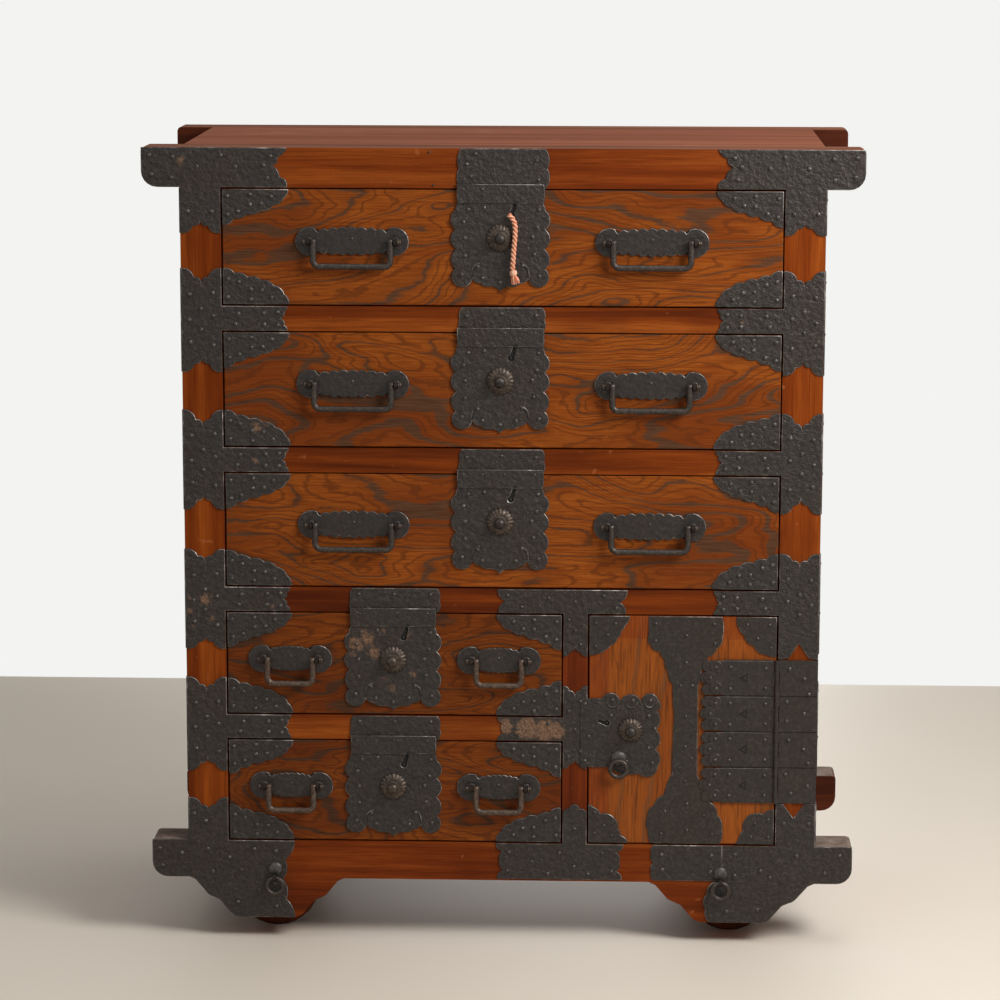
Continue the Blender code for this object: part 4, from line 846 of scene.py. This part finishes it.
# The plates on the rails above the locks: left, right, low and high edge
RAIL_PLATES = (
    (-53, 55, 970.3, 1019.6), (-52, 52, 790.8, 821.7), (-52, 52, 611.3, 642.2), (-191, -80, 431.8, 462.7),
    (-191, -80, 265.3, 296.2),
)
TOP_RIVETS = (
    (288, 1009), (297, 998), (332, 996), (380, 996), (439, 1010), (437, 986), (292, 982), (392, 940),
    (362, 940), (410, 1008), (412, 982), (350, 1010),
)
LEFT_RIVETS = (
    (440, 118), (437, 95), (378, 118), (290, 116), (335, 90), (340, 47), (290, 42), (350, 107), (395, 165),
    (380, 155), (412, 112), (318, 118), (372, 88), (312, 64),
)
RIGHT_RIVETS = (
    (270, 116), (269, 95), (206, 117), (207, 97), (333, 97), (345, 88), (379, 117), (434, 118), (330, 45),
    (415, 95), (300, 118), (300, 90), (362, 160), (394, 160), (290, 42),
)
# The rivets of a post iron, from the middle of its rail
POST_RIVETS = (
    (391, 30), (362, 32), (391, -30), (362, -34), (377, 12), (392, -2), (330, 6), (298, 7), (298, -7),
    (362, 3), (334, -7), (281, 8), (281, -8), (377, -14),
)
MIDDLE_RIVETS = (
    (43, 1005), (45, 981), (-39, 985), (-33, 1013), (-44, 1000), (43, 812), (-44, 811), (0, 814), (43, 632),
    (-44, 632), (0, 634), (-90, 455), (-181, 455), (-136, 455), (-90, 289), (-181, 289), (-136, 289),
    (8, 455), (26, 440), (60, 452), (94, 447), (130, 455), (146, 440), (94, 410), (86, 424), (101, 392),
    (20, 281), (94, 281), (86, 305), (101, 318), (101, 252), (86, 245), (60, 288), (10, 118), (8, 94),
    (40, 106), (75, 118), (94, 100), (94, 150), (130, 118), (142, 94), (112, 90), (60, 90),
)
BASE_RINGS = {"left_base_ring": -291, "right_base_ring": 282}


def rail_plate(left, right, low, high):
    """The plate on a rail above a lock, lobed at its ends."""
    middle = (low + high) / 2
    return [
        (left + 2, high), (left - 1, middle, 0.12), (left, low, 0.12), (right, low),
        (right + 1.5, middle, 0.14), (right - 1, high, 0.14),
    ]


def build_frame_irons():
    """The irons on the case's frame."""
    shape = Shape(iron, rim, rivet_iron_with_highlight)

    def half(side, points, *rivet_rows):
        """Adds an iron on the left or the right, and rows of rivets at their heights."""
        shape.plate(scalloped(points if side > 0 else flipped(points)), PROUD)
        for places, height in rivet_rows:
            shape.domes([(side * x, height + z) for x, z in places], PROUD, 3.0)

    for side in (1, -1):
        half(side, TOP_CORNER, (TOP_RIVETS, 0))
        half(side, post_iron(869, 851, 822, 790.5, 738, 755))
        half(side, post_iron(690, 670, 642.5, 611, 562, 581), (POST_RIVETS, 806), (POST_RIVETS, 627))
        if side < 0:
            half(side, post_iron(511, 497, 463, 431.5, 382, 397))
            half(side, post_iron(345, 329, 296.5, 265, 222, 238), (POST_RIVETS, 447), (POST_RIVETS, 281))
            half(side, BASE_LEFT, (LEFT_RIVETS, 0))
        else:
            above_hinge = [place for place in POST_RIVETS if place[1] > -30]
            half(side, post_iron(511, 497, 463, 431.5, 374.6, 396, True), (above_hinge, 447))
            half(side, BASE_RIGHT, (RIGHT_RIVETS, 0))
    rail_plates = [rail_plate(*edges) for edges in RAIL_PLATES]
    for points in (BASE_PLATE, BASE_MIDDLE, LOWER_MIDDLE, CROSS, *rail_plates):
        shape.plate(scalloped(points), PROUD)
    shape.domes(MIDDLE_RIVETS, PROUD, 2.5)
    for x in BASE_RINGS.values():
        shape.dome(x, 92.5, PROUD, 9.5, 4.2)
    shape.domes(((-90, 1015), (-85, 974)), 0.2, 1.4)
    shape.piece("frame_irons", "case")


SIDE_SPANS = ((913, 969.5), (738, 869), (562, 690), (382, 511), (222, 345), (98, 186))


def build_side_irons():
    """The irons wrapped round to the sides, with a scalloped edge."""
    shape = Shape(iron, rim, rivet_iron_with_highlight)
    for out in (-MM, MM):
        shape.plane = Matrix(((0, 0, out, out * SIDE), (MM, 0, 0, FRONT), (0, MM, 0, 0), (0, 0, 0, 1)))
        for low, high in SIDE_SPANS:
            count = max(2, round((high - low) / 30))
            points = [(0.4, low), (0.4, high)]
            for index in range(count + 1):
                z = high - (high - low) * index / count
                points.append((44 if index % 2 else 40, z, 0.0 if index == 0 else 0.18))
            shape.plate(scalloped(points), SIDE_PROUD)
            for index in range(count):
                z = high - (high - low) * (index + 0.5) / count
                shape.dome(33 if index % 2 else 24, z, SIDE_PROUD)
    shape.piece("side_irons", "case")


def corner_iron(edge_x, edge_z, sign_x, sign_z):
    """The iron on one corner of a drawer front, from that corner inward."""
    rise = 3.5 if sign_z > 0 else 0
    points = [
        (0.2, 0.2), (83, 0.2), (77, 11.5 + rise * 0.5, 0.14), (64, 20.5 + rise, 0.16),
        (48, 26.5 + rise * 1.2, 0.16), (31, 31 + rise, 0.16), (15, 37 + rise * 0.6, 0.16), (0.2, 45.5, 0.16),
    ]
    return scalloped([(edge_x + sign_x * p[0], edge_z + sign_z * p[1], *p[2:]) for p in points])


def handle_outline(x, z, length):
    """The plate behind a bail: a round lobe at each end that flows into a bar with small scallops."""
    lobe = length / 2 - 17.8
    neck = lobe - 11
    count = 7

    def scallops(side, up, swell):
        shares = [index / count for index in range(1, count + 1)]
        rises = [up + swell * sin(pi * share) ** 0.6 for share in shares]
        return [(side * neck * (2 * share - 1), side * rise, 0.25) for share, rise in zip(shares, rises)]

    points = [
        (-neck, 11.4, -0.12), *scallops(1, 11.4, 4.0), (lobe - 7, 16.6, -0.12), (lobe - 7, -16.6, 0.745),
        (neck, -11.2, -0.12), *scallops(-1, 11.2, 3.2), (7 - lobe, -16.6, -0.10), (7 - lobe, 16.6, 0.745),
    ]
    return scalloped(moved(points, x, z))


CORNER_RIVETS = ((6.5, 9), (35, 19), (61, 9), (7, 32), (35, 6.5), (20, 28), (49, 18))


def build_drawer_irons(name, drawer):
    """The corner irons, handle plates and rivets on a drawer's front."""
    shape = Shape(drawer_iron, handle_iron, rim, rivet_iron_with_highlight)
    for edge_x, sign_x in ((drawer.left, 1), (drawer.right, -1)):
        for edge_z, sign_z in ((drawer.low, 1), (drawer.high, -1)):
            shape.plate(corner_iron(edge_x, edge_z, sign_x, sign_z), PROUD)
            shape.domes([(edge_x + sign_x * u, edge_z + sign_z * v) for u, v in CORNER_RIVETS], PROUD)
    length, eye = (142, 54.5) if drawer.wide() else (107, 35.0)
    for x, z in drawer.handles().values():
        shape.plate(handle_outline(x, z, length), HANDLE_PROUD, depth=2.6, finish=handle_iron)
        shape.dome(x, z + 3.5, HANDLE_PROUD, 1.9, 1.2)
        for end in (-1, 1):
            shape.dome(x + end * eye, z, HANDLE_PROUD, 5.6, 1.3, handle_iron)
            shape.dome(x + end * (eye + 9), z + 8, HANDLE_PROUD, 1.3, 0.8, handle_iron)
    shape.piece(name + "_irons", name)


LOCK_HALF = [
    (50, 57), (54, 41.5, 0.08), (56, 34.5, 0.10), (56, 11, 0.26), (55, -13.5, 0.26), (56, -38.5, 0.24),
    (35, -50.5, 0.73), (25, -56.5, 0.16), (12, -60.5, 0.14), (0, -66.5, -0.12),
]
LAP = [(-54, 67.3), (-54, 43.5), (54, 43.5), (55, 55, 0.06), (54, 67.3, 0.06)]
LOCK_SLOT = [(20.9, 43.6), (22, 47), (18.4, 47.6), (16.4, 44.0)]
LOCK_RIVETS = (
    (-40, 35.5), (48, 35.5), (-48, -45.5), (49, -47.5), (-28, -35.5), (0, -55.5), (40, 1.5), (-44, 0),
    (28, -34), (46, 14), (-46, 20), (-20, 38), (20, -50), (-22, -50), (42, -20), (-44, -22),
)
LOCK_CURL = ((24, -31), (29, -33), (33, -37), (34.5, -43), (35, -49))
KNOB = [
    (3.7, 4.0), (3.7, 11.6), (4.4, 11.7), (6.4, 12.4), (7.2, 13.8), (7.1, 15.4), (6.3, 17.1), (5.1, 18.5),
    (3.4, 19.6), (1.7, 20.05), (0, 20.1),
]


def build_knob(name, x, z):
    """A push knob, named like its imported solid."""
    shape = Shape(bronze if "small" in name else dark_knob)
    shape.lathe(FRONT_PLANE @ Matrix.Translation((x, z, 0)), KNOB, 32)
    shape.piece(name + "_head", name, name, slot="dark_bronze")


def build_lock(name, x, z):
    """A drawer's lock plate with its lap strip, rosette, keyhole and rivets, and its knob."""
    shape = Shape(lock_iron, bronze, rim, shade, rivet_iron_with_highlight)
    hole = arc(x + 13.5, z + 29, 4.0, range(105, 400, 20)) + moved([(20.6, 42.2), (16.3, 43.3)], x, z)
    outline = scalloped(moved(LOCK_HALF + flipped(LOCK_HALF)[1:], x, z))
    shape.plate(outline, LOCK_PROUD, [hole], depth=2.0)
    shape.patch(disc(x + 15.5, z + 35, 11), SHADE_PROUD, shade, 0.1, 0.3)
    shape.plate(scalloped(moved(LAP, x, z)), LAP_PROUD, edge=0.9, depth=2.6)
    shape.patch(moved(LOCK_SLOT, x, z), LAP_PROUD + 0.06, shade)
    shape.rosette(x, z, 18)
    shape.domes(moved(LOCK_RIVETS, x, z), LOCK_PROUD, 2.7, 1.8)
    shape.domes([(x + u, z + 61) for u in (-46, -22, 6, 44)], LAP_PROUD, 1.6, 0.9)
    # Each curl is a line of painted shade with a line of painted highlight beside it, in the rim's finish
    for side in (-1, 1):
        for spread, finish in ((0.0, shade), (1.1, rim)):
            shape.curl([(x + side * (u + spread), z + v) for u, v in LOCK_CURL], 0.9, finish)
    shape.dome(x + 13.5, z + 29, 0.4, 1.1, 2.0)
    shape.piece(name + "_lock", name, name + "_lock_plate")
    build_knob(name + "_knob", x, z)


def build_bail(name, x, z, width, rod):
    """A bail: a bent rod, with a beaded pin at each end."""
    leg = width / 2 - 3.7
    turn = arc(leg - 8, -22.8, 8, range(0, -91, -15))
    half = [(leg, 3.3), (leg, 0), (leg, -8), (leg, -16), *turn, (leg * 0.5, -30.8), (0, -30.8)]
    outline = half + [(-u, v) for u, v in reversed(half[:-1])]
    path = [world(x + u, PIVOT_Y, z + v) for u, v in outline]
    radii = [(4.0 - 0.15 * cos(pi * u / leg / 2) ** 2) * MM for u, v in outline]
    shape = Shape(rod, bronze)
    shape.tube(path, radii, 14)
    reach = width / 2 + 5 - leg
    profile = [
        (0, -1.0), (2.4, 0), (2.4, reach - 0.3), (3.9, reach), (3.9, reach + 1.4), (2.8, reach + 1.8),
        (3.9, reach + 2.5), (3.6, reach + 3.9), (1.9, reach + 4.8), (0, reach + 4.95),
    ]
    for end in (-1, 1):
        turned = Matrix.Rotation(end * pi / 2, 4, "Y") @ Matrix.Scale(MM, 4)
        shape.lathe(Matrix.Translation(world(x + end * leg, PIVOT_Y, z)) @ turned, profile, 20, bronze)
    shape.piece(name + "_rod", name, name)


def build_ring(name, x, z, radius=10.6):
    """A pull ring, a little thinner at its top."""
    shape = Shape(rod_iron)
    angles = [2 * pi * step / 40 for step in range(40)]
    centre = world(x, PIVOT_Y, z - 10.3)
    points = [centre + Vector((radius * MM * cos(a), 0, radius * MM * sin(a))) for a in angles]
    radii = [(3.0 - 0.6 * max(0.0, sin(angle)) ** 3) * MM for angle in angles]
    shape.tube(points, radii, 14, closed=True)
    shape.piece(name + "_rod", name, name)


build_frame_irons()
build_side_irons()
for name, drawer in DRAWERS.items():
    build_drawer_irons(name, drawer)
    build_lock(name, drawer.lock_x, drawer.lock_z)
    for side, (x, z) in drawer.handles().items():
        build_bail(f"{name}_{side}_bail", x, z, *((104, rod_iron) if drawer.wide() else (65, worn_rod)))
for name, x in BASE_RINGS.items():
    build_ring(name, x, 82)
build_ring("door_ring", 150, 242)

DOOR_STRAP = [
    (187, 429.5), (187, 405), (190, 391, 0.14), (202, 384, 0.20), (208, 374, 0.18), (212, 358, 0.12),
    (218, 341, 0.10), (220.5, 300, 0.02), (219, 224, 0.01), (209, 196, 0.06), (196, 182, 0.16),
    (188, 167, 0.18), (189, 148, 0.14), (192, 132, 0.10), (280, 132), (283, 150, 0.12), (277, 170, 0.14),
    (266, 188, 0.16), (256, 203, 0.12), (250.5, 222, 0.08), (250, 340), (254, 360, 0.08), (262, 377, 0.12),
    (273, 388, 0.16), (281, 402, 0.16), (280, 429.5, 0.06),
]
DOOR_CORNERS = (
    [(112, 378), (140, 392, 0.12), (147, 400, 0.2), (152, 410, 0.16), (157, 417, 0.16),
     (163, 429.5, 0.12), (112, 429.5)],
    [(112, 183), (112, 132), (163, 132), (153, 142, 0.14), (150, 150, 0.16), (145, 165, 0.12),
     (127, 170, 0.16), (120, 178, 0.14)],
    [(298, 429.5), (308, 405, 0.12), (320, 392, 0.16), (335, 381, 0.14), (349, 378, 0.08), (349, 429.5)],
    [(349, 178), (335, 172, 0.12), (322, 172, 0.1), (313, 165, 0.16), (310, 150, 0.14),
     (305, 140, 0.1), (300, 132), (349, 132)],
)
DOOR_RIVETS = (
    (196, 420), (270, 420), (196, 398), (271, 395), (235, 405), (235, 370), (228, 340), (243, 340),
    (235, 300), (235, 260), (235, 215), (228, 232), (243, 245), (210, 175), (260, 170), (205, 145),
    (270, 145), (238, 150), (238, 185), (120, 390), (120, 420), (145, 420), (135, 405), (120, 172),
    (120, 145), (142, 142), (132, 155), (312, 420), (340, 420), (325, 402), (342, 390), (342, 165),
    (325, 160), (320, 142), (342, 142),
)
LEAF_RIVETS = (
    (366, 363), (385, 350), (363, 320), (385, 305), (363, 295), (366, 270), (385, 258), (363, 225),
    (391, 210), (370, 200), (391, 330), (391, 240),
)
# The four hinges, and the end of a strap from the height of its middle: its plate, lobes and rivets
HINGE_LOW, HINGE_PITCH = 187, 46.75
HINGE_END = [
    (344, -22.6), (344, 22.6), (264, 22.4), (261, 8, 0.52), (261, -8, 0.50), (264, -22.4, 0.52),
]
HINGE_LOBES = ((273, 13.8), (265.5, 0), (273, -13.8))
HINGE_RIVETS = ((336, 13), (336, -13), (291, 14), (291, -14))
LOBE_RIVETS = ((266, 0), (273, 13.8), (273, -13.8))


def build_door_irons():
    """The irons on the door, and the details of its hinges."""
    shape = Shape(door_iron, rim, rivet_iron_with_highlight)
    for points in (DOOR_STRAP, *DOOR_CORNERS):
        shape.plate(scalloped(points), PROUD)
    shape.domes(DOOR_RIVETS, PROUD, 2.1)
    shape.piece("door_irons", "door")

    shape = Shape(door_iron, rim, shade, rivet_iron_with_highlight)
    for index in range(4):
        middle = HINGE_LOW + HINGE_PITCH * (index + 0.5)
        shape.plate(scalloped(moved(HINGE_END, 0, middle)), HINGE_PROUD, depth=1.6, edge_finish=door_iron)
        for x, z in moved(HINGE_LOBES, 0, middle):
            shape.patch(disc(x, z, 8.6), LOBE_PROUD, door_iron, 0.9, 1.4)
        for inset, finish, rise in ((0.0, shade, 0.06), (3.2, door_iron, 0.16)):
            left, right, half = 302 + 1.5 * inset, 313 - 0.6 * inset, 6.6 - inset
            triangle = moved([(left, 0), (right, half), (right, -half)], 0, middle)
            shape.patch(triangle, HINGE_PROUD + rise, finish)
        shape.domes(moved(HINGE_RIVETS, 0, middle), HINGE_PROUD, 2.5)
        shape.domes(moved(LOBE_RIVETS, 0, middle), LOBE_PROUD, 2.5)
    shape.piece("door_hinge_details", "door")

    shape = Shape(rivet_iron_with_highlight)
    shape.domes(LEAF_RIVETS, LEAF_PROUD, 2.8)
    shape.piece("fixed_leaf_rivets", "case")


DOOR_LOCK = [
    (101.5, 322), (101.5, 232), (134, 232), (150, 224, -0.06), (176, 224, 0.06), (200, 233, 0.34),
    (197, 256, 0.20), (197, 282, 0.24), (198, 306, 0.22), (200, 320, 0.30), (179, 316, 0.52),
    (151, 316, 0.42), (129, 322, 0.46),
]
# A thin strip of painted shadow down the lock plate's left edge, where the plate laps over the middle post's
# iron
DOOR_LOCK_SHADOW_LINE = [(100.4, 322.6), (100.4, 231.4), (101.7, 231.4), (101.7, 322.6)]
DOOR_LOCK_RIVETS = (
    (107, 315), (107, 240), (142, 320), (168, 320), (190, 320), (196, 283), (193, 238), (140, 233),
    (112, 272), (188, 300), (140, 300), (188, 258), (160, 240),
)


def build_door_lock():
    """The door's lock plate with its rosette and keyhole, and its knob."""
    shape = Shape(lock_iron, bronze, rim, shade, rivet_iron_with_highlight)
    hole = arc(135, 290, 3.6, range(-140, 141, 20)) + [(124.5, 294.4), (123.6, 291.0)]
    shape.plate(scalloped(DOOR_LOCK), LOCK_PROUD, [hole], depth=2.0)
    shape.patch(disc(129, 290, 12), SHADE_PROUD, shade, 0.1, 0.3)
    shape.dome(135, 290, 0.4, 1.1, 2.0)
    # Painted shadow along the plate's left edge
    shape.patch(DOOR_LOCK_SHADOW_LINE, 2.0, shade, 0.02, 0.3)
    # Each scroll is a line of painted shade with a line of painted highlight beside it, in the rim's finish
    for x, radius in ((142, 8.5), (166, 9), (189, 8)):
        for spread, finish in ((0.0, shade), (1.2, rim)):
            shape.curl(arc(x, 318, radius - spread, range(-170, 1, 17)), 0.8, finish)
    shape.rosette(165, 281, 16.5)
    shape.domes(DOOR_LOCK_RIVETS, LOCK_PROUD, 2.7, 1.8)
    shape.dome(150, 243.5, LOCK_PROUD, 10.5, 3.6)
    shape.piece("door_lock", "door", "door_lock_plate")
    build_knob("door_knob", 165, 281)


build_door_irons()
build_door_lock()


def dress(finish, *names):
    """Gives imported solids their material."""
    for name in names:
        mesh = frame["nodes"][name].data
        mesh.materials.clear()
        mesh.materials.append(finish)
        for polygon in mesh.polygons:
            polygon.material_index = 0


for index, name in enumerate(DRAWERS):
    shift = (1.7 * index, 0.9 * index, 0.53 * index)
    dress(zelkova_front(name + "_zelkova", shift, 0.36 if "small" in name else 0.06), name + "_front")
dress(plain_wood("drawer_box_wood", "y", KIRI_TONES), *(name + "_box" for name in DRAWERS))
dress(door_finish(), "door")
dress(frame_wood("post_wood", "z", (0.3, 0.2, 0), POST_TONES), "left_side", "right_side")
dress(frame_wood("middle_post_wood", "z", (0.9, 0.2, 0), MIDDLE_TONES), "middle_post")
rail_wood = frame_wood("rail_wood", "x", (0, 0, 0), RAIL_TONES)
dress(rail_wood, "upper_rail", "middle_rail", "lower_rail", "short_rail")
dress(frame_wood("top_beam_wood", "x", (0.7, 0, 0), RED_TONES, True), "top_front_beam")
lug_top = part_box("base_front_beam")[1].z - 0.012
dress(frame_wood("base_beam_wood", "x", (1.3, 0, 0), RED_TONES, True, lug_top), "base_front_beam")
lug_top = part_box("base_rear_beam")[1].z - 0.0006
dress(frame_wood("base_rear_wood", "x", (2.6, 0, 0), DARK_TONES, False, lug_top), "base_rear_beam")
dress(frame_wood("rear_beam_wood", "x", (2.1, 0, 0), DARK_TONES), "top_rear_beam")
dress(top_finish(), "top_board")
dress(plain_wood("back_planks", "z", BACK_TONES, 0.134), "back_board")
dress(plain_wood("bottom_wood", "x", BACK_TONES), "bottom_board")
dress(plain_wood("axle_wood", "y", BACK_TONES), "left_axle", "right_axle")
wheels = [name for name in frame["nodes"] if name.endswith("_wheel")]
dress(frame_wood("wheel_wood", "z", (0, 0, 0), DARK_TONES), *wheels)
dress(door_iron, "door_hinge_straps", "door_hinge_plate")


def build_floor():
    """A plain floor, up to where the backdrop starts."""
    mesh = bpy.data.meshes.new("floor")
    back = FRONT + 1.45
    mesh.from_pydata([(-5, -6, 0), (5, -6, 0), (5, back, 0), (-5, back, 0)], [], [(0, 1, 2, 3)])
    mesh.materials.append(floor_finish())
    link(bpy.data.objects.new("floor", mesh))


def build_world():
    """Soft light all round, and a pale backdrop where the camera looks past the chest."""
    surroundings = bpy.data.worlds.new("surroundings")
    make = Nodes(surroundings)
    make.tree.nodes.clear()
    rays = ("Is Camera Ray", "Is Transmission Ray", "Is Glossy Ray")
    direct, through, mirrored = make.outputs("LightPath", (), rays)
    soft = make.add("Background", {0: (1.0, 0.93, 0.85, 1), 1: 0.165})
    pale = make.add("Background", {0: (243, 243, 241), 1: 1.0})
    joined = make.add("MixShader", {0: direct | through | mirrored, 1: soft, 2: pale})
    make.put(make.tree.nodes.new("ShaderNodeOutputWorld").inputs[0], joined)
    bpy.context.scene.world = surroundings


def add_light(name, place, target, size, power, colour):
    data = bpy.data.lights.new(name, "AREA")
    data.shape = "DISK"
    data.size = size
    data.energy = power
    data.color = colour
    light = link(bpy.data.objects.new(name, data))
    light.location = place
    light.rotation_euler = (Vector(target) - Vector(place)).to_track_quat("-Z", "Y").to_euler()
    light.visible_camera = False


build_floor()
build_world()
add_light("key", (1.42, -1.12, 1.78), (0, -0.2, 0.55), 1.0, 42, (1.0, 0.985, 0.96))
add_light("behind", (0.1, 2.9, 0.5), (0, 0.1, 0.1), 1.0, 16, (1.0, 0.96, 0.92))
add_light("overhead", (0.4, 0.0, 3.8), (0.1, 0, 0), 2.4, 33, (1.0, 0.97, 0.93))
bpy.context.scene.view_settings.view_transform = "Standard"
